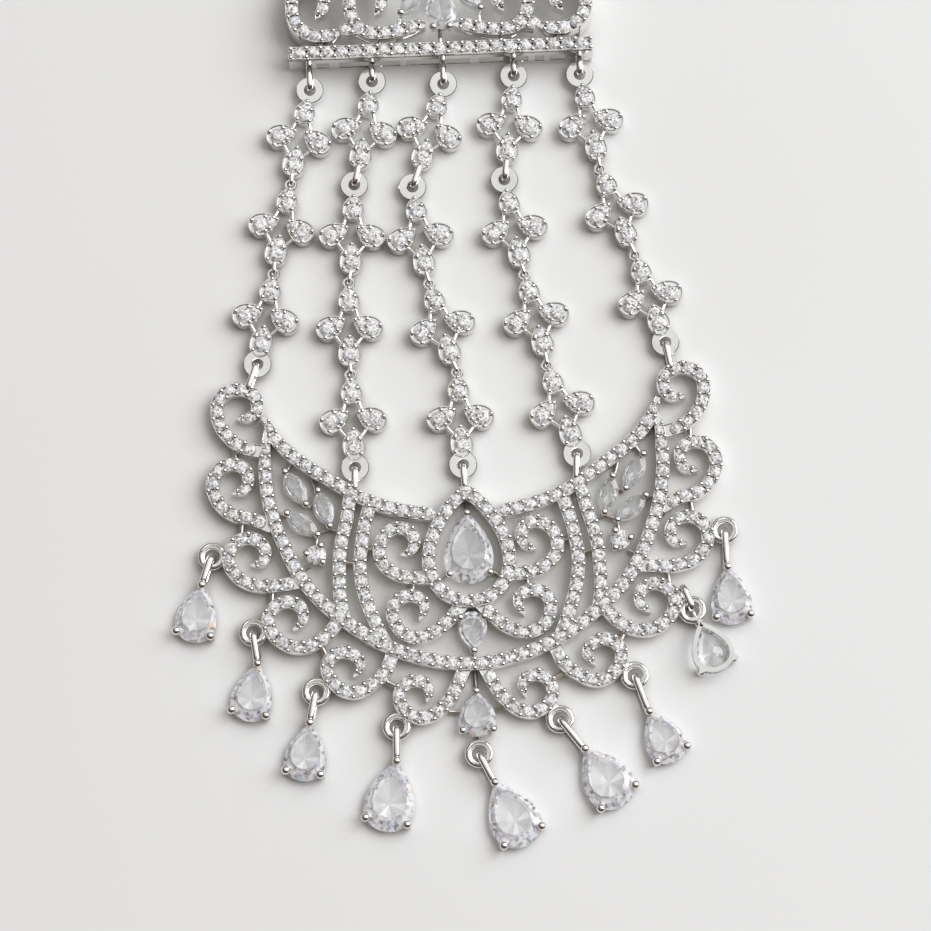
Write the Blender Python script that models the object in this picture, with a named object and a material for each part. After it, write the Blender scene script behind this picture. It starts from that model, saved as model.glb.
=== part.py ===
"""A jhoomar: a pierced head plaque, five strands of four-petal links, an openwork crescent and nine pear drops.

Lengths in the tables are millimetres, +X right, +Y towards the head plaque, +Z up off the surface that it
lies on. A Place is the point where a piece sits, measured from the crescent's middle stone, and its turn in
degrees, anticlockwise seen from above.
"""
import math
from collections import namedtuple

import bmesh
import bpy
from mathutils import Matrix

MM = 0.001
Place = namedtuple("Place", "x y turn")

# Driving dimensions, mm
PAVE_WIDTH = 1.7
RING_Z = 1.1
RING_THICK = {"wide": 0.6, "fine": 0.4, "drop": 0.72}
LOOP_SIDES = 10
WIRE_SIDES = 5
LOOP_WIRE = 0.28
LOOP_REACH = 0.82
FINE_LOOP_WIRE = 0.2
FINE_LOOP_REACH = 0.58
SEAT_MARGIN = 0.2
POST_SIDE = 0.5
POST_GAP = 0.1
STONE_INSET = 0.3
GIRDLE = 0.12
TABLE_SHARE = 0.6

BAR_HALF = 18.9
BAR_WIDTH = 1.9
BAR_LOOP_FOOT = 0.55
DROP_HIGH = 2.7
DROP_OPENING = (0.68, 0.66)
DROP_LOOP_FOOT = (0.0, 0.1)
# The drop that lies face down: length of its loop, the bar under its ring (height above the ring's middle,
# then its end), and the post that joins the bar to the setting (two ends and width)
FLIPPED_LOOP = 3.1
FLIPPED_BAR = (1.2, 0.0, 0.2)
FLIPPED_POST = ((0.0, 0.4), (0.0, -0.3), 0.6)
WINDOW_WIDTH = 2.3
WINDOW_SHARES = (0.3, 0.7)

# Lowest and highest z of each kind of flat metal. Kinds that meet differ, so that no two faces coincide.
HEIGHTS = {
    "plaque_bar": (0.0, 4.4), "plaque_window": (1.3, 3.0), "plaque_arch": (0.05, 4.3), "plaque_band": (2.5, 4.2),
    "plaque_hook": (2.6, 4.1), "plaque_wire": (2.7, 3.4), "plaque_seat": (2.65, 3.3), "plaque_prong": (2.8, 4.7),
    "outer_band": (0.0, 2.0), "upper_band": (0.05, 1.95), "strut": (0.1, 1.9), "scroll": (0.15, 1.85),
    "halo": (0.02, 2.05), "bridge": (0.5, 1.4), "seat_bar": (0.45, 0.9), "seat": (0.4, 1.0), "prong": (0.5, 2.2),
    "petal": (0.25, 1.75), "petal_wire": (0.7, 1.3), "drop_seat": (0.3, 1.0), "drop_prong": (0.4, 2.7),
    "flipped_bar": (0.05, 0.5), "flipped_post": (0.05, 2.0),
}
# Pavé bands: points along the path, width at the far end, share of the length where the narrowing starts
BANDS = {
    "plaque_arch": (12, 1.7, 1.0), "plaque_band": (8, 1.7, 1.0), "plaque_hook": (8, 0.35, 0.55),
    "outer_band": (37, 1.7, 1.0), "upper_band": (9, 0.35, 0.8), "strut": (6, 1.7, 1.0), "scroll": (10, 0.35, 0.6),
}
# Height of a stone's girdle, depth of its pavilion below that, and height of its table
STONE_HEIGHTS = {"plaque": (3.7, 0.3, 4.6), "crescent": (1.4, 0.38, 2.3), "drop": (1.3, 0.9, 2.6)}

CRESCENT = Place(0.0, 0.0, 2.95)
PLAQUE = Place(-3.5, 64.4, 1.5)

METAL = ("rhodium_white", (0.86, 0.86, 0.85, 1.0), 1.0, 0.18)
STONE = ("clear_stone", (0.93, 0.93, 0.95, 1.0), 0.0, 0.05)

# One row for each link of each strand, top to bottom: place, then the kind of ring at its top
LINKS = {
    1: (((-21.6, 53.05, -11), "wide"), ((-23.7, 41.3, -11), "fine"), ((-25.55, 29.5, -9), "fine")),
    2: (((-13.3, 54.15, -8), "wide"), ((-14.75, 40.3, -2), "wide"), ((-15.0, 28.25, 1), "fine"),
        ((-14.45, 16.3, 3), "fine")),
    3: (((-5.0, 54.0, -15), "wide"), ((-6.1, 40.1, 8.5), "wide"), ((-3.3, 28.35, 16), "fine"),
        ((-1.05, 16.65, 3.5), "fine")),
    4: (((5.2, 54.9, -5), "wide"), ((5.8, 41.1, 10.5), "wide"), ((8.5, 29.5, 14), "fine"),
        ((11.7, 17.8, 18), "fine")),
    5: (((15.6, 55.2, 11.5), "wide"), ((18.8, 43.65, 20.5), "fine"), ((22.9, 32.15, 18), "fine")),
}
# Where each strand's last ring is caught by a loop on the crescent, in the crescent's own axes
STRAND_FEET = {1: (-26.6, 21.5), 2: (-13.7, 7.9), 3: (0.0, 8.0), 4: (13.8, 7.9), 5: (26.6, 21.5)}

# Petals of a link: tip x, tip y, direction from tip to round end, length, width
PETALS = ((0.0, 5.55, -90, 3.4, 2.75), (-0.45, 1.28, 210, 4.15, 3.05),
          (0.45, 1.28, -30, 4.15, 3.05), (0.0, -0.7, -90, 4.3, 2.9))
# Short wires between the petals: two ends each
PETAL_WIRES = (((-0.8, 2.7), (-1.25, 1.2)), ((0.8, 2.7), (1.25, 1.2)),
               ((-1.9, -0.7), (-0.7, -2.2)), ((1.9, -0.7), (0.7, -2.2)))
PETAL_WIRE = 0.45
PETAL_SIDES = 8
RING_SIZE = {"wide": (1.8, 0.75, 10, 7), "fine": (0.82, 0.46, 10, 6), "drop": (1.8, 1.05, 10, 10)}
RING_UP = {"wide": 6.85, "fine": 5.97}
LAST_RING_DOWN = -5.93
LINK_LOOP_FOOT = -4.2

# Half of the crescent, x outwards from its axis and y up from its middle stone
UPPER_BAND = ((24.5, 17.7), (23.2, 15.0), (21.1, 12.7), (18.5, 10.7), (15.8, 8.9), (13.2, 7.2), (10.2, 5.9),
              (7.3, 5.05), (4.6, 4.6))
OUTER_BAND = ((24.3, 16.6), (24.75, 11.5), (24.5, 7.5), (23.8, 4.4), (22.8, 1.6), (21.4, -1.6), (19.5, -4.6),
              (17.2, -7.0), (14.6, -9.1), (11.7, -11.1), (8.6, -12.6), (5.1, -13.7), (1.7, -14.3))
STRUTS = (((14.3, 7.8), (14.9, 4.4), (15.6, 1.9), (16.0, -0.6), (16.1, -3.1), (16.1, -5.6), (15.6, -8.3)),
          ((11.9, 6.4), (12.7, 3.6), (13.2, 1.1), (13.5, -1.4), (13.35, -3.9), (12.8, -6.2), (11.9, -8.8),
           (10.6, -11.7)))
SCROLLS = (
    ((25.0, 13.6), (27.2, 14.2), (29.0, 15.5), (30.3, 17.6), (30.3, 20.2), (29.0, 21.5), (27.3, 21.7),
     (25.7, 20.8), (25.5, 18.9), (26.7, 18.0), (28.2, 18.1)),
    ((24.2, 4.0), (26.8, 5.2), (28.8, 5.7), (30.5, 7.1), (31.4, 9.4), (30.6, 11.5), (28.8, 12.2),
     (27.2, 11.4), (26.9, 9.7), (27.7, 8.7), (29.1, 8.5)),
    ((20.8, -3.1), (23.5, -3.4), (26.0, -3.35), (28.2, -2.5), (29.6, -0.6), (29.4, 1.5), (27.9, 2.65),
     (26.2, 2.5), (25.1, 1.1), (25.5, -0.4), (27.1, -0.7)),
    ((16.6, -8.4), (18.2, -10.2), (20.3, -11.2), (22.5, -11.1), (24.5, -9.6), (25.1, -7.5), (24.1, -6.0),
     (22.5, -5.5), (21.0, -6.3), (20.8, -8.0), (22.1, -9.1)),
    ((9.8, -12.2), (11.0, -14.9), (12.7, -16.3), (14.6, -17.2), (16.6, -16.7), (18.0, -14.8), (17.8, -13.0),
     (16.3, -12.1), (14.6, -12.6), (13.9, -14.0), (14.9, -15.3)),
    ((1.1, -14.6), (2.4, -17.3), (3.4, -18.8), (5.1, -20.3), (7.2, -20.7), (9.1, -19.4), (9.3, -17.4),
     (8.1, -16.2), (6.5, -16.3), (5.7, -17.4), (6.1, -18.8)),
    ((5.2, -3.4), (7.2, -3.3), (9.1, -2.7), (10.7, -1.3), (11.05, 0.5), (10.3, 2.2), (8.7, 3.1),
     (7.2, 2.6), (6.6, 1.3), (7.1, 0.1), (8.4, -0.4)),
    ((1.4, -7.2), (3.5, -9.4), (5.2, -10.4), (7.2, -10.8), (9.0, -9.8), (9.8, -7.7), (9.2, -6.1),
     (7.6, -5.5), (6.1, -6.1), (5.8, -7.3), (6.5, -8.6)),
)
# Soldered bridges between neighbouring scrolls: two ends and width
BRIDGES = (((26.6, 13.6), (29.6, 13.4), 0.7), ((28.4, 12.0), (28.5, 15.0), 0.7),
           ((28.2, 2.4), (27.8, 5.5), 0.7), ((24.7, -6.3), (24.4, -3.5), 0.7),
           ((18.2, -12.2), (19.0, -10.6), 0.7), ((9.0, -17.0), (11.6, -15.6), 0.7),
           ((15.9, -0.7), (13.4, -1.2), 0.6), ((13.5, 0.6), (10.9, 0.7), 0.6),
           ((7.2, -5.7), (7.0, -3.2), 0.6))
HALO = (0.0, 0.55, 14.3, 10.0)
HALO_DROP = 0.1
HALO_SIDES = 16
# Sides and pointedness of a stone's outline, and its corners that carry a prong, by its number of pointed ends
GEM_SIDES = {0: 8, 1: 10, 2: 8}
GEM_POWER = {0: 0.0, 1: 0.65, 2: 0.45}
PRONGS = {0: (1, 5), 1: (0, 4, 6), 2: (0, 4)}

# Drops: place of the pear's point, turn of its axis, pear length, pear width, lying face up
DROPS = (
    ((-32.88, -4.6, -8.9), 7.2, 5.1, True),
    ((-25.88, -14.4, -9.4), 7.2, 5.1, True),
    ((-19.4, -21.7, -7.1), 7.2, 5.1, True),
    ((-8.75, -26.4, -9.6), 8.7, 6.2, True),
    ((3.2, -29.0, 27.4), 8.6, 6.2, True),
    ((14.2, -24.9, 34.3), 8.3, 6.1, True),
    ((22.1, -20.3, 27.4), 6.9, 5.0, True),
    ((28.75, -9.75, 24.0), 6.6, 5.2, False),
    ((32.0, -2.3, 5.6), 7.2, 5.1, True),
)
# Rings soldered round the crescent for the drops, left to right, in the crescent's own axes
DROP_RINGS = ((-31.75, 0.75), (-27.0, -9.05), (-19.55, -16.8), (-9.9, -21.6), (0.0, -25.45),
              (10.1, -21.7), (19.6, -16.8), (27.2, -9.0), (31.85, 0.8))

# Stones in the crescent: name, x, y, turn, length, width, pointed ends
CRESCENT_STONES = (
    ("centre_pear", 0.0, 0.05, 0, 8.9, 6.1, 1), ("upper_small_pear", 0.0, -10.3, 180, 4.9, 3.6, 1),
    ("lower_small_pear", 0.0, -20.6, 0, 5.6, 4.6, 1),
    ("left_marquise_1", -21.1, 8.75, 30, 4.9, 2.2, 2), ("left_marquise_2", -17.7, 6.0, 16, 4.7, 2.2, 2),
    ("left_marquise_3", -20.45, 4.15, 52, 4.7, 2.2, 2), ("left_round", -18.8, -0.2, 0, 2.5, 2.5, 0),
    ("right_marquise_1", 21.1, 8.75, -30, 4.9, 2.2, 2), ("right_marquise_2", 17.7, 6.0, -16, 4.7, 2.2, 2),
    ("right_marquise_3", 20.45, 4.15, -52, 4.7, 2.2, 2), ("right_round", 18.8, -0.2, 0, 2.5, 2.5, 0),
)
# Bars that carry those settings from the bands: two ends and width
SETTING_BARS = (((22.6, 11.2), (23.2, 13.2), 0.6), ((19.6, 6.4), (18.6, 7.2), 0.6),
                ((18.6, 8.4), (19.3, 10.6), 0.6), ((22.4, 5.4), (24.4, 6.4), 0.6),
                ((17.0, 3.6), (18.9, 2.9), 0.6), ((16.9, 3.4), (15.4, 3.2), 0.6),
                ((19.8, -1.0), (21.2, -1.8), 0.6), ((18.9, 0.9), (18.7, 2.6), 0.6),
                ((0.0, -6.4), (0.0, -9.0), 0.7), ((0.0, -12.2), (0.0, -14.2), 0.7),
                ((0.0, -14.4), (0.0, -18.4), 0.6), ((1.6, -20.7), (4.6, -20.4), 0.6),
                ((0.0, -22.8), (0.0, -24.4), 0.9), ((0.0, 4.2), (0.0, 7.4), 0.7),
                ((2.3, -2.4), (4.6, -4.0), 0.7), ((2.7, 0.6), (4.9, 0.6), 0.7))

# Half of the plaque, x outwards from its middle and y up from the bar
PLAQUE_ARCH = ((14.0, 2.35), (15.9, 2.35), (17.4, 2.95), (18.4, 4.0), (18.8, 6.0), (18.4, 9.0), (16.8, 12.0),
               (13.8, 14.2), (9.9, 15.6), (5.2, 16.8), (0.6, 17.6))
PLAQUE_BANDS = (((14.6, 2.35), (12.3, 2.6), (10.6, 3.4), (9.0, 2.75), (6.8, 2.75), (5.0, 3.1), (2.6, 3.5)),
                ((10.4, 3.2), (11.3, 5.0), (11.4, 7.0), (10.8, 9.6), (9.7, 12.2), (8.9, 15.4)))
PLAQUE_HOOKS = (((18.4, 8.8), (17.4, 10.4), (15.9, 10.5), (14.8, 9.2), (14.6, 7.2), (15.0, 5.7), (15.8, 4.7)),
                ((10.8, 9.4), (10.0, 10.9), (8.6, 11.1), (7.5, 9.8), (7.2, 7.7), (7.5, 6.0), (8.2, 4.9)))
PLAQUE_STONES = (("plaque_pear", 0.0, 6.3, 0, 6.0, 4.0, 1), ("plaque_left_marquise", -3.5, 7.5, -40, 4.9, 2.3, 2),
                 ("plaque_right_marquise", 3.5, 7.5, 40, 4.9, 2.3, 2))
PLAQUE_BARS = (((0.0, 0.0), (0.0, 4.2), 0.6), ((5.2, 5.6), (5.6, 3.4), 0.6), ((1.2, 9.6), (0.0, 11.0), 0.6),
               ((0.0, 8.4), (0.0, 17.4), 1.5), ((13.9, 0.4), (13.9, 2.0), 0.9), ((7.8, 0.4), (7.8, 2.4), 0.9),
               ((1.6, 3.4), (1.4, 5.2), 0.5))
# Middle of the pin ring, its radius and half the thickness of its wire
PIN_RING = (0.0, 19.6, 3.2, 1.6, 0.45)


def clear_scene():
    for old in list(bpy.data.objects):
        bpy.data.objects.remove(old)


def material(spec):
    name, colour, metallic, roughness = spec
    found = bpy.data.materials.get(name)
    if found:
        return found
    new = bpy.data.materials.new(name)
    new.use_nodes = True
    shader = new.node_tree.nodes["Principled BSDF"]
    shader.inputs["Base Color"].default_value = colour
    shader.inputs["Metallic"].default_value = metallic
    shader.inputs["Roughness"].default_value = roughness
    return new


def to_world(place, x, y):
    """A point in a piece's own axes, in the common axes."""
    a = math.radians(place.turn)
    return (place.x + x * math.cos(a) - y * math.sin(a), place.y + x * math.sin(a) + y * math.cos(a))


def to_local(place, x, y):
    """A point in the common axes, in a piece's own axes."""
    a = math.radians(place.turn)
    dx, dy = x - place.x, y - place.y
    return (dx * math.cos(a) + dy * math.sin(a), dy * math.cos(a) - dx * math.sin(a))


def circle(x, y, radius, sides):
    steps = [2 * math.pi * (i + 0.5) / sides for i in range(sides)]
    return [(x + radius * math.cos(a), y + radius * math.sin(a)) for a in steps]


def gem_outline(x, y, turn, length, width, points, sides):
    """Outline of a stone or petal: no pointed end is an ellipse, one a pear whose point is up, two a marquise."""
    place = Place(x, y, turn)
    outline = []
    for i in range(sides):
        a = 2 * math.pi * i / sides
        lean = abs(math.sin(a / 2)) if points == 1 else abs(math.sin(a))
        outline.append((math.sin(a) * lean ** GEM_POWER[points], math.cos(a)))
    widest = max(abs(p[0]) for p in outline)
    return [to_world(place, p[0] / widest * width / 2, p[1] * length / 2) for p in outline]


def smooth_path(points, count):
    """count points, evenly spaced along a smooth curve through the given ones."""
    ends = [points[0]] + list(points) + [points[-1]]
    fine = []
    for a, b, c, d in zip(ends, ends[1:], ends[2:], ends[3:]):
        for step in range(12):
            t = step / 12
            fine.append(tuple(0.5 * (2 * q + (r - p) * t + (2 * p - 5 * q + 4 * r - s) * t * t
                                     + (3 * q - p - 3 * r + s) * t ** 3) for p, q, r, s in zip(a, b, c, d)))
    fine.append(points[-1])
    run = [0.0]
    for p, q in zip(fine, fine[1:]):
        run.append(run[-1] + math.dist(p, q))
    picked = []
    for i in range(count):
        want = run[-1] * i / (count - 1)
        j = min(max(k for k, r in enumerate(run) if r <= want + 1e-9), len(fine) - 2)
        t = (want - run[j]) / (run[j + 1] - run[j])
        picked.append(tuple(p + (q - p) * t for p, q in zip(fine[j], fine[j + 1])))
    return picked


def band_outline(path, start_width, end_width, taper_from=1.0):
    """Outline of a band of metal along a path, narrowing to its end after the given share of its length."""
    left, right = [], []
    for i, point in enumerate(path):
        before, after = path[max(i - 1, 0)], path[min(i + 1, len(path) - 1)]
        reach = math.dist(before, after)
        nx, ny = (before[1] - after[1]) / reach, (after[0] - before[0]) / reach
        share = max(0.0, (i / (len(path) - 1) - taper_from) / (1.0 - taper_from)) if taper_from < 1 else 0.0
        half = (start_width + (end_width - start_width) * share) / 2
        left.append((point[0] + nx * half, point[1] + ny * half))
        right.append((point[0] - nx * half, point[1] - ny * half))
    return left + right[::-1]


def mirrored(points):
    return [(-p[0], *p[1:]) for p in points]


def both_sides(rows):
    """Rows of points and their mirror images, leaving out the image of a row that lies on the axis."""
    rows = list(rows)
    return rows + [mirrored(row) for row in rows if any(abs(p[0]) > 1e-6 for p in row)]


def add_mesh(name, mesh, spec=METAL):
    mesh.name = name
    piece = bpy.data.objects.new(name, mesh)
    bpy.context.scene.collection.objects.link(piece)
    mesh.materials.clear()
    mesh.materials.append(material(spec))
    return piece


def plate(outlines, low, high):
    """Flat metal: a filled 2D curve, the first outline its edge and the others holes, made a mesh."""
    curve = bpy.data.curves.new("outline", "CURVE")
    curve.dimensions = "2D"
    curve.fill_mode = "BOTH"
    curve.extrude = (high - low) / 2
    for outline in outlines:
        spline = curve.splines.new("POLY")
        spline.points.add(len(outline) - 1)
        for point, (x, y) in zip(spline.points, outline):
            point.co = (x, y, 0.0, 1.0)
        spline.use_cyclic_u = True
    drawn = bpy.data.objects.new("outline", curve)
    bpy.context.scene.collection.objects.link(drawn)
    mesh = bpy.data.meshes.new_from_object(drawn.evaluated_get(bpy.context.evaluated_depsgraph_get()))
    bpy.data.objects.remove(drawn)
    mesh.transform(Matrix.Translation((0, 0, (high + low) / 2)))
    shape = bmesh.new()
    shape.from_mesh(mesh)
    bmesh.ops.remove_doubles(shape, verts=shape.verts, dist=0.0005)
    bmesh.ops.recalc_face_normals(shape, faces=shape.faces)
    shape.to_mesh(mesh)
    shape.free()
    return add_mesh("plate", mesh)


def bar(start, end, width, low, high):
    return plate([band_outline([start, end], width, width)], low, high)


def pave_band(kind, path):
    """A band that carries a row of pavé stones along a path, of one of the kinds in the tables."""
    count, tip, narrows = BANDS[kind]
    return plate([band_outline(smooth_path(path, count), PAVE_WIDTH, tip, narrows)], *HEIGHTS[kind])


def ring(radius, wire):
    bpy.ops.mesh.primitive_torus_add(major_segments=LOOP_SIDES, minor_segments=WIRE_SIDES,
                                     major_radius=radius, minor_radius=wire)
    return bpy.context.object


def upright_loop(hole, foot, reach, wire):
    """A long link standing on edge: one end turns down through the hole, the other is soldered in at the foot."""
    length = math.dist(hole, foot)
    made = ring(reach, wire)
    made.data.transform(Matrix.Rotation(math.pi / LOOP_SIDES, 4, "Z"))
    stretch = max(length - 2 * reach, 0.05)
    for vertex in made.data.vertices:
        if vertex.co.x > 0:
            vertex.co.x += stretch
    made.data.transform(Matrix.Translation((reach, 0, 0)))
    made.data.transform(Matrix.Rotation(math.pi / 2, 4, "X"))
    heading = math.atan2(foot[1] - hole[1], foot[0] - hole[0])
    made.data.transform(Matrix.Translation((hole[0], hole[1], RING_Z)) @ Matrix.Rotation(heading, 4, "Z"))
    return made


def stone_body(name, outline, kind):
    """A cut stone: a flat table, a facet from it to each stretch of the girdle, and a pointed pavilion."""
    girdle, depth, height = STONE_HEIGHTS[kind]
    cx = sum(p[0] for p in outline) / len(outline)
    cy = sum(p[1] for p in outline) / len(outline)
    shape = bmesh.new()
    rings = []
    for scale, z in ((TABLE_SHARE, height), (1.0, girdle + GIRDLE), (1.0, girdle)):
        rings.append([shape.verts.new((cx + (x - cx) * scale, cy + (y - cy) * scale, z)) for x, y in outline])
    culet = shape.verts.new((cx, cy, girdle - depth))
    shape.faces.new(rings[0])
    for high, low in zip(rings, rings[1:]):
        for i in range(len(outline)):
            j = (i + 1) % len(outline)
            shape.faces.new((high[i], low[i], low[j], high[j]))
    for i in range(len(outline)):
        shape.faces.new((rings[-1][i], culet, rings[-1][(i + 1) % len(outline)]))
    bmesh.ops.recalc_face_normals(shape, faces=shape.faces)
    mesh = bpy.data.meshes.new(name)
    shape.to_mesh(mesh)
    shape.free()
    return add_mesh(name, mesh, STONE)


def combine(name, pieces, cutters=()):
    """Solder pieces into one body: a Boolean union, less the cutters."""
    body = pieces[0]
    groups = []
    for operation, others in (("UNION", pieces[1:]), ("DIFFERENCE", cutters)):
        if not others:
            continue
        group = bpy.data.collections.new(name + "_" + operation.lower())
        groups.append(group)
        for other in others:
            group.objects.link(other)
        cut = body.modifiers.new(operation.lower(), "BOOLEAN")
        cut.operation = operation
        cut.operand_type = "COLLECTION"
        cut.collection = group
    mesh = bpy.data.meshes.new_from_object(body.evaluated_get(bpy.context.evaluated_depsgraph_get()))
    for other in (*pieces, *cutters):
        bpy.data.objects.remove(other)
    for group in groups:
        bpy.data.collections.remove(group)
    return add_mesh(name, mesh)


def stand(piece, place):
    """Put a finished piece in its place and turn it from millimetres to metres."""
    piece.data.transform(Matrix.Scale(MM, 4))
    piece.location = (place.x * MM, place.y * MM, 0.0)
    piece.rotation_euler.z = math.radians(place.turn)
    return piece


def seat_and_stone(x, y, turn, length, width, points):
    """Outlines of a setting's seat and of the stone held a little inside its prongs."""
    return [gem_outline(x, y, turn, length + extra, width + extra, points, GEM_SIDES[points])
            for extra in (SEAT_MARGIN, -STONE_INSET)]


def posts(outline, picks, low, high):
    """Square prong posts just outside a stone's outline, at the given points of it."""
    cx = sum(p[0] for p in outline) / len(outline)
    cy = sum(p[1] for p in outline) / len(outline)
    made = []
    for pick in picks:
        x, y = outline[pick]
        reach = math.dist((x, y), (cx, cy))
        out = 1 + (POST_SIDE / 2 + POST_GAP) / reach
        px, py = cx + (x - cx) * out, cy + (y - cy) * out
        angle = math.atan2(y - cy, x - cx)
        tip = (px + math.cos(angle) * POST_SIDE / 2, py + math.sin(angle) * POST_SIDE / 2)
        root = (px - math.cos(angle) * POST_SIDE / 2, py - math.sin(angle) * POST_SIDE / 2)
        made.append(bar(root, tip, POST_SIDE, low, high))
    return made


def link_rings(places):
    """World places of the ring at the top of each link of a strand, and of the last link's lower ring."""
    tops = [to_world(Place(*row), 0.0, RING_UP[kind]) for row, kind in places]
    return tops, to_world(Place(*places[-1][0]), 0.0, LAST_RING_DOWN)


def flat_ring(x, y, kind):
    outer, hole, sides, hole_sides = RING_SIZE[kind]
    half = RING_THICK[kind] / 2
    return plate([circle(x, y, outer, sides), circle(x, y, hole, hole_sides)], RING_Z - half, RING_Z + half)


def build_link(strand, number, rows):
    """A link: four petals and their wires, a flat ring on top, and a loop or a second flat ring below."""
    row, kind = rows[number - 1]
    place = Place(*row)
    pieces = []
    for x, y, heading, length, width in PETALS:
        a = math.radians(heading)
        middle = (x + math.cos(a) * length / 2, y + math.sin(a) * length / 2)
        outline = gem_outline(*middle, heading + 90, length, width, 1, PETAL_SIDES)
        pieces.append(plate([outline], *HEIGHTS["petal"]))
    for start, end in PETAL_WIRES:
        pieces.append(bar(start, end, PETAL_WIRE, *HEIGHTS["petal_wire"]))
    pieces.append(flat_ring(0.0, RING_UP[kind], kind))
    if number == len(rows):
        pieces.append(flat_ring(0.0, LAST_RING_DOWN, "wide"))
    else:
        below, below_kind = rows[number]
        hole = to_local(place, *to_world(Place(*below), 0.0, RING_UP[below_kind]))
        reach, wire = (LOOP_REACH, LOOP_WIRE) if below_kind == "wide" else (FINE_LOOP_REACH, FINE_LOOP_WIRE)
        pieces.append(upright_loop(hole, (0.0, LINK_LOOP_FOOT), reach, wire))
    return stand(combine(f"strand_{strand}_link_{number}", pieces), place)


def build_plaque():
    """The head plaque: a deep bar with gallery windows, and above it an arch of pierced pavé work."""
    pieces = [bar((-BAR_HALF, 0.0), (BAR_HALF, 0.0), BAR_WIDTH, *HEIGHTS["plaque_bar"])]
    for kind, rows in (("plaque_arch", [PLAQUE_ARCH]), ("plaque_band", PLAQUE_BANDS),
                       ("plaque_hook", PLAQUE_HOOKS)):
        for path in both_sides(rows):
            pieces.append(pave_band(kind, path))
    for start, end, width in PLAQUE_BARS:
        for a, b in both_sides([(start, end)]):
            pieces.append(bar(a, b, width, *HEIGHTS["plaque_wire"]))
    for _, x, y, turn, length, width, points in PLAQUE_STONES:
        seat, stone = seat_and_stone(x, y, turn, length, width, points)
        pieces.append(plate([seat], *HEIGHTS["plaque_seat"]))
        pieces.extend(posts(stone, PRONGS[points], *HEIGHTS["plaque_prong"]))
    holes = [to_local(PLAQUE, *link_rings(rows)[0][0]) for rows in LINKS.values()]
    for hole in holes:
        pieces.append(upright_loop(hole, (hole[0], -BAR_LOOP_FOOT), LOOP_REACH, LOOP_WIRE))
    x, y, z, radius, wire = PIN_RING
    pin_ring = ring(radius, wire)
    pin_ring.data.transform(Matrix.Translation((x, y, z)))
    pieces.append(pin_ring)
    windows = []
    for left, right in zip(holes, holes[1:]):
        for share in WINDOW_SHARES:
            middle = left[0] + (right[0] - left[0]) * share
            windows.append(bar((middle - WINDOW_WIDTH / 2, 0.0), (middle + WINDOW_WIDTH / 2, 0.0), BAR_WIDTH * 2,
                               *HEIGHTS["plaque_window"]))
    stand(combine("upper_plaque", pieces, windows), PLAQUE)
    for name, x, y, turn, length, width, points in PLAQUE_STONES:
        _, outline = seat_and_stone(x, y, turn, length, width, points)
        stand(stone_body(name, outline, "plaque"), PLAQUE)


def build_crescent():
    """The crescent: its bands, scrolls, halo and seats soldered together, with loops above and rings below."""
    pieces = [pave_band("outer_band", [*mirrored(OUTER_BAND), *OUTER_BAND[::-1]])]
    for kind, rows in (("upper_band", [UPPER_BAND[::-1]]), ("strut", STRUTS), ("scroll", SCROLLS)):
        for path in both_sides(rows):
            pieces.append(pave_band(kind, path))
    for kind, rows in (("bridge", BRIDGES), ("seat_bar", SETTING_BARS)):
        for start, end, width in rows:
            for a, b in both_sides([(start, end)]):
                pieces.append(bar(a, b, width, *HEIGHTS[kind]))
    x, y, length, width = HALO
    pieces.append(plate([gem_outline(x, y, 0, length + PAVE_WIDTH, width + PAVE_WIDTH, 1, HALO_SIDES),
                         gem_outline(x, y - HALO_DROP, 0, length - PAVE_WIDTH, width - PAVE_WIDTH, 1, HALO_SIDES)],
                        *HEIGHTS["halo"]))
    for _, x, y, turn, length, width, points in CRESCENT_STONES:
        seat, stone = seat_and_stone(x, y, turn, length, width, points)
        pieces.append(plate([seat], *HEIGHTS["seat"]))
        pieces.extend(posts(stone, PRONGS[points], *HEIGHTS["prong"]))
    for strand, foot in STRAND_FEET.items():
        hole = to_local(CRESCENT, *link_rings(LINKS[strand])[1])
        pieces.append(upright_loop(hole, foot, LOOP_REACH, LOOP_WIRE))
    for x, y in DROP_RINGS:
        pieces.append(flat_ring(x, y, "drop"))
    stand(combine("crescent_frame", pieces), CRESCENT)
    for name, x, y, turn, length, width, points in CRESCENT_STONES:
        _, outline = seat_and_stone(x, y, turn, length, width, points)
        stand(stone_body(name, outline, "crescent"), CRESCENT)


def turn_over(piece):
    """Turn a piece face down about its long axis, within the height that a drop takes."""
    piece.data.transform(Matrix.Translation((0, 0, DROP_HIGH)) @ Matrix.Rotation(math.pi, 4, "Y"))
    return piece


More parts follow.
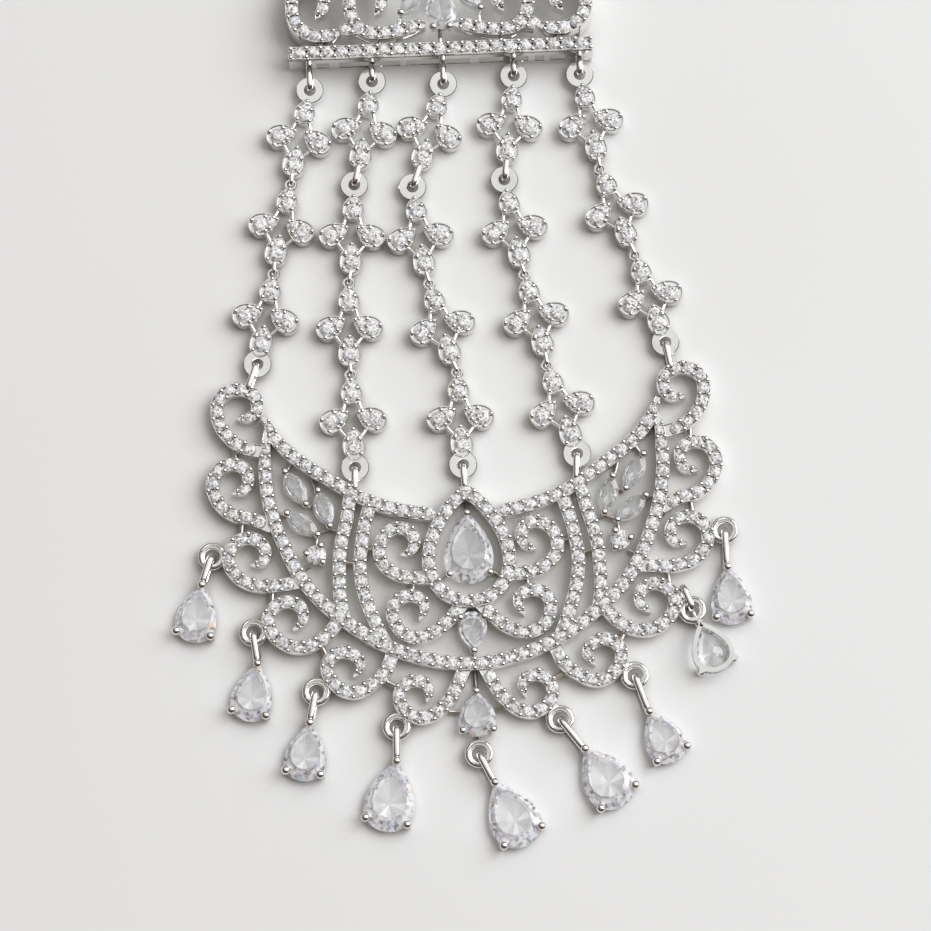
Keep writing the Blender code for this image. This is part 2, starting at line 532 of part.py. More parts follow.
def build_drop(number, row, length, width, face_up):
    """A drop: an open pear gallery with three prongs and a loop through its ring, and its stone."""
    place = Place(*row)
    hole = to_local(place, *to_world(CRESCENT, *DROP_RINGS[number - 1]))
    seat, outline = seat_and_stone(0.0, -length / 2, 0, length, width, 1)
    opening = gem_outline(0.0, -length / 2, 0, length * DROP_OPENING[0], width * DROP_OPENING[1], 1,
                          GEM_SIDES[1])
    pieces = [plate([seat, opening], *HEIGHTS["drop_seat"])]
    pieces.extend(posts(outline, PRONGS[1], *HEIGHTS["drop_prong"]))
    stone = stone_body(f"drop_{number}_stone", outline, "drop")
    if face_up:
        pieces.append(upright_loop(hole, DROP_LOOP_FOOT, LOOP_REACH, LOOP_WIRE))
    else:
        for piece in (*pieces, stone):
            turn_over(piece)
        (bar_lift, *bar_end), (post_start, post_end, post_width) = FLIPPED_BAR, FLIPPED_POST
        pieces.append(upright_loop(hole, (hole[0], hole[1] + FLIPPED_LOOP), LOOP_REACH, LOOP_WIRE))
        pieces.append(bar((hole[0], hole[1] + bar_lift), bar_end, 2 * LOOP_WIRE, *HEIGHTS["flipped_bar"]))
        pieces.append(bar(post_start, post_end, post_width, *HEIGHTS["flipped_post"]))
    stand(combine(f"drop_{number}_setting", pieces), place)
    stand(stone, place)


def centre_on_surface():
    """Move everything so that the origin is under the middle of the whole jewel, on the surface it lies on."""
    bpy.context.view_layer.update()
    corners = [piece.matrix_world @ vertex.co for piece in bpy.data.objects for vertex in piece.data.vertices]
    low = [min(c[axis] for c in corners) for axis in range(3)]
    high = [max(c[axis] for c in corners) for axis in range(3)]
    for piece in bpy.data.objects:
        piece.location.x -= (low[0] + high[0]) / 2
        piece.location.y -= (low[1] + high[1]) / 2
        piece.location.z -= low[2]


clear_scene()
build_plaque()
for strand, rows in LINKS.items():
    for number in range(1, len(rows) + 1):
        build_link(strand, number, rows)
build_crescent()
for number, (row, length, width, face_up) in enumerate(DROPS, 1):
    build_drop(number, row, length, width, face_up)
centre_on_surface()
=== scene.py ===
import math

import bmesh
import bpy
from mathutils import Matrix, Vector


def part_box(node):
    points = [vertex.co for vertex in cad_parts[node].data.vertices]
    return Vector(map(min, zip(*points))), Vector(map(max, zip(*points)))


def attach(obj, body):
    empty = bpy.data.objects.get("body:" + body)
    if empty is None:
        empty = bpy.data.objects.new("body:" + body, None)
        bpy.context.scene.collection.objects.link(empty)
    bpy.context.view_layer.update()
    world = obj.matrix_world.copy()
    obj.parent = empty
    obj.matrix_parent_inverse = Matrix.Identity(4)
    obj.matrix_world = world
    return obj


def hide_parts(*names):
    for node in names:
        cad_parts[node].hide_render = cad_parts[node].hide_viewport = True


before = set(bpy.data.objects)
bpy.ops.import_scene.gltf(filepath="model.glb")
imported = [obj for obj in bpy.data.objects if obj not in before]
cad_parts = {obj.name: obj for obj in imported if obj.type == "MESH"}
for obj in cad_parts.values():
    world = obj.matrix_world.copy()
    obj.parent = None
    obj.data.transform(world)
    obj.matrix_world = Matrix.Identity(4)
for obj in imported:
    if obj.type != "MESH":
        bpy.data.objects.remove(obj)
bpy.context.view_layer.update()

# The jhoomar lies on its back on a smooth off-white table, under a wide soft light from the right. Lengths
# are millimetres from the middle of the crescent's big pear, with +Y towards the head plaque. The two small
# round stones give that point and the crescent's turn.
MM = 0.001
ROUNDS_BELOW_PEAR = 0.2
CAMERA_AIM = (-0.37, 10.92)
CAMERA_DISTANCE = 400.0
CAMERA_ELEVATION = 77.5
CAMERA_LENS = 123.74
TABLE_SIZE = 3000.0
TABLE_COLOUR = (0.79, 0.79, 0.79, 1.0)
# Painted shade: the colour the table is painted towards beside the metal and in the crescent's openings, as
# far as the reach below
TABLE_SHADE = (0.36, 0.345, 0.315, 1.0)
SHADE_REACH = 5.0
# The crescent's openings lie inside its outer edge's circle and outside its upper edge's: middle, radius
OUTER_CIRCLE, UPPER_CIRCLE = ((0.0, 11.2), 25.1), ((0.0, 33.3), 29.0)
# The share of the open table's colour that the painted shade leaves in the middle of an opening and close
# beside the metal there; the painted shade is heavier in the middle, which evens out the real shadow
PAINTED_OPENING_SHADE = (0.06, 0.30)
# The least share of the open table's colour that the painted shade leaves close beside the metal, and the
# painted light added to that share between two places along X
CLOSE_LIGHT, RIGHT_PAINTED_LIGHT, RIGHT_FROM, RIGHT_TO = 0.3, 0.18, -13.0, -5.0
# How much of the sky a place on the table sees where the painted shade is full and where it ends
SHUT_IN, WIDE_OPEN = 0.36, 0.80
# How far along Y the table is painted light in front of the plaque's bar, lifting its painted shade there,
# and how that painted light comes and goes
BAR_PAINTED_LIGHT = (44.0, 66.4)
BAR_PAINTED_LIGHT_STEPS = ((0.0, 0.0), (0.45, 1.0), (0.88, 1.0), (0.93, 0.0))
# The sky is a little darker where flat metal mirrors it into the camera, as under someone who leans over
PATCH_LEAN = (0.0, 0.216, 0.976)
PATCH = ((0.9703, (1.0, 1.0, 1.0, 1.0)), (0.9877, (0.76, 0.765, 0.76, 1.0)))
KEY_LIGHT = {"azimuth": 20.0, "elevation": 44.0, "distance": 1600.0, "size": 1500.0, "power": 25.5}
SKY_LEAN = (0.10, 0.42, 0.90)
SKY = ((0.0, (0.06, 0.04, 0.032, 1.0)), (0.42, (0.11, 0.08, 0.066, 1.0)), (0.66, (0.24, 0.225, 0.205, 1.0)),
       (0.84, (0.64, 0.63, 0.61, 1.0)), (0.93, (0.95, 0.94, 0.93, 1.0)), (1.0, (1.0, 1.0, 0.99, 1.0)))
SKY_STRENGTH = 1.12


def middle_of(node):
    low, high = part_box(node)
    return (Vector(low) + Vector(high)) / 2


across = middle_of("right_round") - middle_of("left_round")
CRESCENT_TURN = math.degrees(math.atan2(across.y, across.x))
HEART = ((middle_of("right_round") + middle_of("left_round")) / 2
         + Vector((-across.y, across.x, 0.0)).normalized() * ROUNDS_BELOW_PEAR * MM)


def place(x, y, turn=0.0):
    """From a piece's own millimetres to the common metres."""
    return (Matrix.Translation((HEART.x + x * MM, HEART.y + y * MM, 0.0))
            @ Matrix.Rotation(math.radians(turn), 4, "Z") @ Matrix.Scale(MM, 4))


def crescent_point(x, y):
    a = math.radians(CRESCENT_TURN)
    return (x * math.cos(a) - y * math.sin(a), x * math.sin(a) + y * math.cos(a))


def add_node(tree, kind, inputs=(), **settings):
    """A node with its settings, each input given a value or joined to another node's output."""
    made = tree.nodes.new(kind)
    for name, value in settings.items():
        setattr(made, name, value)
    for name, value in dict(inputs).items():
        if isinstance(value, bpy.types.NodeSocket):
            tree.links.new(value, made.inputs[name])
        else:
            made.inputs[name].default_value = value
    return made


def colour_steps(tree, factor, steps, interpolation="LINEAR"):
    ramp = add_node(tree, "ShaderNodeValToRGB", {"Fac": factor})
    ramp.color_ramp.interpolation = interpolation
    while len(ramp.color_ramp.elements) < len(steps):
        ramp.color_ramp.elements.new(1.0)
    for element, (position, colour) in zip(ramp.color_ramp.elements, steps):
        element.position = position
        element.color = colour
    return ramp.outputs["Color"]


def sums(tree, operation, *values):
    return add_node(tree, "ShaderNodeMath", enumerate(values), operation=operation).outputs[0]


def mixed_colour(tree, share, first, second):
    mixer = add_node(tree, "ShaderNodeMix", data_type="RGBA")
    tree.links.new(share, mixer.inputs["Factor"])
    for name, source in (("A", first), ("B", second)):
        socket = [s for s in mixer.inputs if s.type == "RGBA" and s.name == name][0]
        if isinstance(source, tuple):
            socket.default_value = source
        else:
            tree.links.new(source, socket)
    return [s for s in mixer.outputs if s.type == "RGBA"][0]


def vector(tree, **axes):
    return add_node(tree, "ShaderNodeCombineXYZ", axes).outputs[0]


def spread(tree, value, from_low, from_high, low=0.0, high=1.0):
    """A value carried over from one range to another, and held inside it."""
    return add_node(tree, "ShaderNodeMapRange", {"Value": value, "From Min": from_low, "From Max": from_high,
                                                 "To Min": low, "To Max": high}).outputs["Result"]


def circle_edge(tree, spot, middle, radius):
    """One inside a circle on the table and nought outside it, with an edge as wide as a band."""
    away = add_node(tree, "ShaderNodeVectorMath", {0: spot, 1: place(*crescent_point(*middle)).translation},
                    operation="DISTANCE")
    return spread(tree, away.outputs["Value"], (radius + 0.5) * MM, (radius - 0.5) * MM)


def new_material(name, **constants):
    made = bpy.data.materials.new(name)
    made.use_nodes = True
    shader = made.node_tree.nodes["Principled BSDF"]
    for socket, value in constants.items():
        shader.inputs[socket.replace("_", " ")].default_value = value
    coords = add_node(made.node_tree, "ShaderNodeTexCoord")
    return made, made.node_tree, shader, coords.outputs["Object"]


# The table: a faint cloud of its own tone, with shade painted over it. The painted shade follows the ambient
# occlusion beside the metal and is heavier in the crescent's openings; painted light lifts it towards the
# right and in front of the plaque's bar.
table_with_painted_shade, nodes, shader, spot = new_material("table_with_painted_shade", Roughness=0.55)
cloud = add_node(nodes, "ShaderNodeTexNoise", {"Vector": spot, "Scale": 9.0, "Detail": 3.0})
open_table = colour_steps(nodes, cloud.outputs["Fac"], ((0.3, TABLE_COLOUR), (0.7, (0.81, 0.81, 0.812, 1.0))))
near = add_node(nodes, "ShaderNodeAmbientOcclusion", samples=8)
near.inputs["Distance"].default_value = SHADE_REACH * MM
shut_in = spread(nodes, near.outputs["AO"], SHUT_IN, WIDE_OPEN, CLOSE_LIGHT)
inside, beyond = [circle_edge(nodes, spot, *circle) for circle in (OUTER_CIRCLE, UPPER_CIRCLE)]
enclosed = sums(nodes, "MULTIPLY", inside, sums(nodes, "SUBTRACT", 1.0, beyond))
evened = spread(nodes, near.outputs["AO"], SHUT_IN, WIDE_OPEN, PAINTED_OPENING_SHADE[1], PAINTED_OPENING_SHADE[0])
openness = sums(nodes, "ADD", sums(nodes, "MULTIPLY", enclosed, evened),
                sums(nodes, "MULTIPLY", sums(nodes, "SUBTRACT", 1.0, enclosed), shut_in))
# Painted light: the table's colour is lifted towards the right, between two places along X
along = add_node(nodes, "ShaderNodeSeparateXYZ", {"Vector": spot})
rightward = spread(nodes, along.outputs["X"], HEART.x + RIGHT_FROM * MM, HEART.x + RIGHT_TO * MM,
                   0.0, RIGHT_PAINTED_LIGHT)
openness = sums(nodes, "ADD", openness, rightward)
# Painted light in front of the plaque's bar, where the bar's front wall mirrors the table
before_bar = spread(nodes, along.outputs["Y"], HEART.y + BAR_PAINTED_LIGHT[0] * MM, HEART.y + BAR_PAINTED_LIGHT[1] * MM)
lit = colour_steps(nodes, before_bar, [(share, (painted_tone, painted_tone, painted_tone, 1.0)) for share, painted_tone in BAR_PAINTED_LIGHT_STEPS])
nodes.links.new(mixed_colour(nodes, sums(nodes, "MAXIMUM", openness, lit), TABLE_SHADE, open_table),
                shader.inputs["Base Color"])
table_mesh = bpy.data.meshes.new("table")
table_edge = TABLE_SIZE * MM / 2
table_corners = [(x * table_edge, y * table_edge, 0.0) for x, y in ((-1, -1), (1, -1), (1, 1), (-1, 1))]
table_mesh.from_pydata(table_corners, [], [(0, 1, 2, 3)])
table_mesh.materials.append(table_with_painted_shade)
table = bpy.data.objects.new("table", table_mesh)
bpy.context.scene.collection.objects.link(table)

aim = place(*CAMERA_AIM).translation
camera = bpy.data.objects.new("camera", bpy.data.cameras.new("camera"))
bpy.context.scene.collection.objects.link(camera)
camera.data.lens = CAMERA_LENS
camera.data.clip_start = 0.01
tilt = math.radians(CAMERA_ELEVATION)
camera.location = aim + Vector((0.0, -math.cos(tilt), math.sin(tilt))) * CAMERA_DISTANCE * MM
camera.rotation_euler = (math.pi / 2 - tilt, 0.0, 0.0)
bpy.context.scene.camera = camera

key = bpy.data.objects.new("key_light", bpy.data.lights.new("key_light", "AREA"))
bpy.context.scene.collection.objects.link(key)
key.data.energy = KEY_LIGHT["power"]
key.data.size = KEY_LIGHT["size"] * MM
key.data.color = (0.97, 0.985, 1.0)
swing, rise = math.radians(KEY_LIGHT["azimuth"]), math.radians(KEY_LIGHT["elevation"])
towards_key = Vector((math.cos(swing) * math.cos(rise), math.sin(swing) * math.cos(rise), math.sin(rise)))
key.location = aim + towards_key * KEY_LIGHT["distance"] * MM
key.rotation_euler = towards_key.to_track_quat("Z", "Y").to_euler()

sky = bpy.data.worlds.new("studio")
sky.use_nodes = True
bpy.context.scene.world = sky
direction = add_node(sky.node_tree, "ShaderNodeTexCoord")
facing_up = add_node(sky.node_tree, "ShaderNodeVectorMath", {0: direction.outputs["Generated"], 1: SKY_LEAN},
                     operation="DOT_PRODUCT")
overhead = add_node(sky.node_tree, "ShaderNodeVectorMath", {0: direction.outputs["Generated"], 1: PATCH_LEAN},
                    operation="DOT_PRODUCT")
patch = colour_steps(sky.node_tree, overhead.outputs["Value"], PATCH)
sky_colour = colour_steps(sky.node_tree, facing_up.outputs["Value"], SKY)
studio = add_node(sky.node_tree, "ShaderNodeVectorMath", {0: sky_colour, 1: patch}, operation="MULTIPLY")
sky.node_tree.links.new(studio.outputs["Vector"], sky.node_tree.nodes["Background"].inputs["Color"])
sky.node_tree.nodes["Background"].inputs["Strength"].default_value = SKY_STRENGTH
bpy.context.scene.view_settings.view_transform = "Standard"

# The crescent's pavé bands: cast strips of rhodium-plated metal with a thin raised edge on both sides. The
# channel between the edges holds one row of small brilliants, and pairs of raised metal beads grip each.
# Halves are given as x outwards from the crescent's axis and y up from the big pear.
BAND_HALF = 0.85
BAND_DEPTH = 1.85
BAND_EDGE = ((1.0, -0.08), (0.95, 0.0), (0.88, 0.0), (0.84, -0.08), (0.82, -0.45))
BAND_STEP = 0.3
PAVE_PITCH = 1.72
PAVE_RADIUS = 0.78
PAVE_BEAD = 0.34
PAVE_BEAD_OFF = 0.58
BEAD_SHRINK = 0.4
BEAD_LIFT, STONE_LIFT, STONE_TILT = 0.09, -0.12, 0.09
# The least width, as a share of the full one, at which a band still carries beads and stones
NARROWEST_BEADED, NARROWEST_SET = 0.28, 0.6
# Heights of the rings of points on a bead, as angles above its middle
BEAD_SIDES, BEAD_RISES = 12, (-0.4, 0.1, 0.6, 1.1)
UPPER_BAND = ((24.7, 18.1), (23.2, 15.0), (21.1, 12.7), (18.5, 10.7), (15.8, 8.9), (13.2, 7.2), (10.2, 5.9),
              (7.3, 5.05), (4.6, 4.6))
OUTER_BAND = ((24.25, 17.2), (24.75, 11.5), (24.5, 7.5), (23.8, 4.4), (22.8, 1.6), (21.4, -1.6), (19.5, -4.6),
              (17.2, -7.0), (14.6, -9.1), (11.7, -11.1), (8.6, -12.6), (5.1, -13.7), (1.7, -14.3))
STRUTS = (((14.2, 8.2), (14.9, 4.4), (15.6, 1.9), (16.0, -0.6), (16.1, -3.1), (16.1, -5.6), (15.6, -8.3)),
          ((11.75, 6.8), (12.7, 3.6), (13.2, 1.1), (13.5, -1.4), (13.35, -3.9), (12.8, -6.2), (11.9, -8.8),
           (10.6, -11.7)))
HALO = {"middle": (0.0, 0.32), "length": 13.8, "width": 10.0, "power": 0.68, "points": 24}
OUTER_TOP, UPPER_TOP, STRUT_TOP, HALO_TOP = 2.0, 1.95, 1.9, 2.05
FULL_WIDTH = ((0.0, 1.0), (1.0, 1.0))
TAPERED_ENDS = ((0.0, 0.3), (0.05, 1.0), (0.95, 1.0), (1.0, 0.3))
HORN = ((0.0, 1.0), (0.88, 1.0), (1.0, 0.35))


def mirrored(points):
    return [(-p[0], *p[1:]) for p in points]


def both_sides(rows):
    return [side for row in rows for side in (row, mirrored(row))]


def gem_point(angle, length, width, points, power):
    """A point of a stone's outline: points is how many of its ends are sharp, and the first of them is up."""
    lean = {0: 1.0, 1: abs(math.sin(angle / 2)), 2: abs(math.sin(angle))}[points]
    reach = max(math.sin(a / 50) * {0: 1.0, 1: math.sin(a / 100), 2: math.sin(a / 50)}[points] ** power
                for a in range(1, 157))
    return (math.sin(angle) * lean ** power / reach * width / 2, math.cos(angle) * length / 2)


def gem_outline(count, length, width, points, power, shift=0.0):
    return [gem_point(2 * math.pi * (i + shift) / count, length, width, points, power) for i in range(count)]


def path_curve(name, rows, where):
    """One curve with a smooth spline for each row: points, height, closed, and widths along its run."""
    curve = bpy.data.curves.new(name, "CURVE")
    curve.dimensions = "3D"
    curve.twist_mode = "Z_UP"
    curve.resolution_u = 8
    for points, height, closed, widths in rows:
        runs = [0.0]
        for a, b in zip(points, points[1:]):
            runs.append(runs[-1] + math.dist(a, b))
        spline = curve.splines.new("BEZIER")
        spline.bezier_points.add(len(points) - 1)
        spline.use_cyclic_u = closed
        for i, knot in enumerate(spline.bezier_points):
            before = Vector(points[i - 1] if i or closed else points[0])
            after = Vector(points[(i + 1) % len(points)] if i < len(points) - 1 or closed else points[-1])
            here, lean = Vector(points[i]), (after - before) / 6
            knot.handle_left_type = knot.handle_right_type = "FREE"
            knot.co, knot.handle_left, knot.handle_right = (where @ Vector((*p, height))
                                                            for p in (here, here - lean, here + lean))
            share = runs[i] / runs[-1]
            for (low, low_width), (high, high_width) in zip(widths, widths[1:]):
                if low <= share <= high:
                    knot.radius = low_width + (high_width - low_width) * (share - low) / (high - low)
    made = bpy.data.objects.new(name, curve)
    bpy.context.scene.collection.objects.link(made)
    return made


def new_tree(name, sockets):
    """An empty node tree for one kind of work, with its named inputs."""
    tree = bpy.data.node_groups.new(name, "GeometryNodeTree")
    tree.interface.new_socket("Geometry", in_out="INPUT", socket_type="NodeSocketGeometry")
    tree.interface.new_socket("Geometry", in_out="OUTPUT", socket_type="NodeSocketGeometry")
    for socket, kind in sockets.items():
        tree.interface.new_socket(socket, in_out="INPUT", socket_type="NodeSocket" + kind)
    return tree, tree.nodes.new("NodeGroupInput").outputs


def end_tree(tree, geometry, material):
    real = add_node(tree, "GeometryNodeRealizeInstances", {"Geometry": geometry})
    painted = add_node(tree, "GeometryNodeSetMaterial", {"Geometry": real.outputs[0], "Material": material})
    add_node(tree, "NodeGroupOutput", {"Geometry": painted.outputs[0]})


def grown(source, tree, settings):
    """The plain mesh that a node tree makes of a source object."""
    work = source.modifiers.new(tree.name, "NODES")
    work.node_group = tree
    for item in tree.interface.items_tree:
        if item.item_type == "SOCKET" and item.in_out == "INPUT" and item.name in settings:
            work[item.identifier] = settings[item.name]
    mesh = bpy.data.meshes.new_from_object(source.evaluated_get(bpy.context.evaluated_depsgraph_get()))
    source.modifiers.remove(work)
    return mesh


def finished(name, mesh, slot, *stands_for, sharp=35.0):
    """A finished piece of the jhoomar, which stands for the given CAD nodes."""
    if sharp:
        mesh.shade_smooth()
        mesh.set_sharp_from_angle(angle=math.radians(sharp))
    mesh.name = name
    made = bpy.data.objects.new(name, mesh)
    bpy.context.scene.collection.objects.link(made)
    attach(made, "root")
    if stands_for:
        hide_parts(*stands_for)
    return made


def joined(*meshes):
    """Several meshes as one."""
    shape = bmesh.new()
    for mesh in meshes:
        shape.from_mesh(mesh)
    together = bpy.data.meshes.new("joined")
    shape.to_mesh(together)
    shape.free()
    for material in meshes[0].materials:
        together.materials.append(material)
    return together


RHODIUM_POLISH = (0.06, 0.18)
rhodium, nodes, shader, spot = new_material("rhodium", Metallic=1.0)
wear = add_node(nodes, "ShaderNodeTexNoise", {"Vector": spot, "Scale": 260.0, "Detail": 4.0})
nodes.links.new(colour_steps(nodes, wear.outputs["Fac"], ((0.3, (0.79, 0.78, 0.765, 1.0)),
                                                          (0.7, (0.90, 0.895, 0.885, 1.0)))),
                shader.inputs["Base Color"])
grain = add_node(nodes, "ShaderNodeTexNoise", {"Vector": spot, "Scale": 1900.0, "Detail": 3.0})
nodes.links.new(spread(nodes, grain.outputs["Fac"], 0.0, 1.0, *RHODIUM_POLISH), shader.inputs["Roughness"])
casting = add_node(nodes, "ShaderNodeBump", {"Height": grain.outputs["Fac"], "Strength": 0.012,
                                             "Distance": 0.04 * MM})
nodes.links.new(casting.outputs["Normal"], shader.inputs["Normal"])

# Painted glints: the small stones' sparkle and dark reflections are painted into their colour as a mosaic of
# facet tones, dark to white with a few coloured ones for fire, in cells of the size below
PAINTED_GLINTS = ((0.0, (0.22, 0.215, 0.215, 1.0)), (0.10, (0.42, 0.415, 0.42, 1.0)),
          (0.24, (0.64, 0.635, 0.645, 1.0)), (0.46, (0.82, 0.815, 0.825, 1.0)), (0.72, (1.0, 1.0, 1.0, 1.0)),
          (0.96, (0.62, 0.57, 0.74, 1.0)), (0.978, (0.90, 0.72, 0.56, 1.0)), (0.99, (0.56, 0.66, 0.88, 1.0)))
PAINTED_GLINT_SIZE = 0.20
pave_stone, nodes, shader, spot = new_material("pave_stone", Roughness=0.05, IOR=1.7)
cells = add_node(nodes, "ShaderNodeTexVoronoi", {"Vector": spot, "Scale": 1.0 / (PAINTED_GLINT_SIZE * MM)})
painted_tone = add_node(nodes, "ShaderNodeSeparateColor", {"Color": cells.outputs["Color"]})
nodes.links.new(colour_steps(nodes, painted_tone.outputs["Red"], PAINTED_GLINTS, "CONSTANT"), shader.inputs["Base Color"])


def band_section(depth):
    """The outline of a cut through a band: its floor, two thin raised edges and straight walls."""
    half = [(1.0, -depth), *BAND_EDGE]
    section = path_curve("section", [], Matrix())
    outline = section.data.splines.new("POLY")
    outline.points.add(2 * len(half) - 1)
    outline.use_cyclic_u = True
    for point, (x, y) in zip(outline.points, [*mirrored(half), *half[::-1]]):
        point.co = (x * BAND_HALF * MM, -y * MM, 0.0, 1.0)
    return section


band_tree, given = new_tree("band", {"Profile": "Object", "Step": "Float", "Material": "Material"})
even = add_node(band_tree, "GeometryNodeResampleCurve", {"Curve": given["Geometry"], "Length": given["Step"]},
                mode="LENGTH")
kept = add_node(band_tree, "GeometryNodeCaptureAttribute", {"Geometry": even.outputs[0]})
kept.capture_items.new("FLOAT", "Width")
kept.capture_items.new("VECTOR", "Spot")
band_tree.links.new(add_node(band_tree, "GeometryNodeInputRadius").outputs[0], kept.inputs["Width"])
band_tree.links.new(add_node(band_tree, "GeometryNodeInputPosition").outputs[0], kept.inputs["Spot"])
section = add_node(band_tree, "GeometryNodeObjectInfo", {"Object": given["Profile"]})
strip = add_node(band_tree, "GeometryNodeCurveToMesh",
                 {"Curve": kept.outputs["Geometry"], "Profile Curve": section.outputs["Geometry"],
                  "Scale": kept.outputs["Width"], "Fill Caps": True})
here = add_node(band_tree, "GeometryNodeInputPosition")
now = add_node(band_tree, "ShaderNodeSeparateXYZ", {"Vector": here.outputs[0]})
was = add_node(band_tree, "ShaderNodeSeparateXYZ", {"Vector": kept.outputs["Spot"]})
sunk = sums(band_tree, "SUBTRACT", now.outputs["Z"], was.outputs["Z"])
depth = sums(band_tree, "DIVIDE", sunk, kept.outputs["Width"])
level = vector(band_tree, X=now.outputs["X"], Y=now.outputs["Y"],
               Z=sums(band_tree, "ADD", was.outputs["Z"], depth))
even_deep = add_node(band_tree, "GeometryNodeSetPosition", {"Geometry": strip.outputs[0], "Position": level})
end_tree(band_tree, even_deep.outputs[0], given["Material"])


def row_spots(tree, given):
    """Points along each spline, two to a stone: even ones hold stones and odd ones lie between them."""
    run = add_node(tree, "GeometryNodeSplineLength").outputs["Length"]
    stones = sums(tree, "ROUND", sums(tree, "DIVIDE", run, given["Pitch"]))
    open_end = sums(tree, "SUBTRACT", 1.0, add_node(tree, "GeometryNodeInputSplineCyclic").outputs[0])
    count = sums(tree, "ADD", sums(tree, "MULTIPLY", stones, 2.0), open_end)
    even = add_node(tree, "GeometryNodeResampleCurve", {"Curve": given["Geometry"], "Count": count},
                    mode="COUNT")
    along = add_node(tree, "GeometryNodeSplineParameter").outputs
    odd = sums(tree, "MODULO", along["Index"], 2.0)
    to_end = sums(tree, "SUBTRACT", run, along["Length"])
    clear = sums(tree, "MULTIPLY", sums(tree, "GREATER_THAN", along["Length"], given["Bare Start"]),
                 sums(tree, "GREATER_THAN", to_end, given["Bare End"]))
    width = add_node(tree, "GeometryNodeInputRadius").outputs[0]
    wide_enough = sums(tree, "GREATER_THAN", width, given["Narrowest"])
    return even.outputs[0], odd, sums(tree, "MULTIPLY", clear, wide_enough), width


def copies(tree, points, item, **inputs):
    """A copy of the item on each point."""
    shape = add_node(tree, "GeometryNodeObjectInfo", {"Object": item})
    return add_node(tree, "GeometryNodeInstanceOnPoints",
                    {"Points": points, "Instance": shape.outputs["Geometry"], **inputs}).outputs[0]


def shifted(tree, points, offset):
    return add_node(tree, "GeometryNodeSetPosition", {"Geometry": points, "Offset": offset}).outputs[0]


def scaled(tree, direction, share):
    return add_node(tree, "ShaderNodeVectorMath", {0: direction, 3: share}, operation="SCALE").outputs[0]


ROW_SOCKETS = {"Pitch": "Float", "Bare Start": "Float", "Bare End": "Float", "Narrowest": "Float",
               "Lift": "Float", "Aside": "Float", "Tilt": "Float", "Seed": "Int", "Item": "Object",
               "Material": "Material"}
stone_tree, given = new_tree("pave_stones", ROW_SOCKETS)
spots, odd, clear, width = row_spots(stone_tree, given)
chosen = sums(stone_tree, "MULTIPLY", sums(stone_tree, "LESS_THAN", odd, 0.5), clear)
lean = vector(stone_tree, X=given["Tilt"], Y=given["Tilt"], Z=math.pi)
spin = add_node(stone_tree, "FunctionNodeRandomValue",
                {0: scaled(stone_tree, lean, -1.0), 1: lean, "Seed": given["Seed"]}, data_type="FLOAT_VECTOR")
lifted = shifted(stone_tree, spots, vector(stone_tree, Z=given["Lift"]))
placed = copies(stone_tree, lifted, given["Item"], Selection=chosen, Rotation=spin.outputs[0], Scale=width)
end_tree(stone_tree, placed, given["Material"])

bead_tree, given = new_tree("pave_beads", ROW_SOCKETS)
spots, odd, clear, width = row_spots(bead_tree, given)
chosen = sums(bead_tree, "MULTIPLY", odd, clear)
heading = add_node(bead_tree, "GeometryNodeInputTangent").outputs[0]
sideways = add_node(bead_tree, "ShaderNodeVectorMath", {0: heading, 1: (0.0, 0.0, 1.0)},
                    operation="CROSS_PRODUCT").outputs[0]
# Beads shrink less than the band that they stand on
bead_size = sums(bead_tree, "ADD", sums(bead_tree, "MULTIPLY", width, BEAD_SHRINK), 1.0 - BEAD_SHRINK)
both = add_node(bead_tree, "GeometryNodeJoinGeometry")
for side in (-1.0, 1.0):
    aside = sums(bead_tree, "MULTIPLY", sums(bead_tree, "MULTIPLY", given["Aside"], width), side)
    offset = add_node(bead_tree, "ShaderNodeVectorMath",
                      {0: scaled(bead_tree, sideways, aside), 1: vector(bead_tree, Z=given["Lift"])})
    beside = shifted(bead_tree, spots, offset.outputs[0])
    placed = copies(bead_tree, beside, given["Item"], Selection=chosen, Scale=bead_size)
    bead_tree.links.new(placed, both.inputs[0])
end_tree(bead_tree, both.outputs[0], given["Material"])


# How strongly the painted mosaic of facet glints shows round a stone's rim, by how many sharp ends the stone
# has
RIM_STRENGTH = {0: 1.0, 1: 1.0, 2: 0.12}


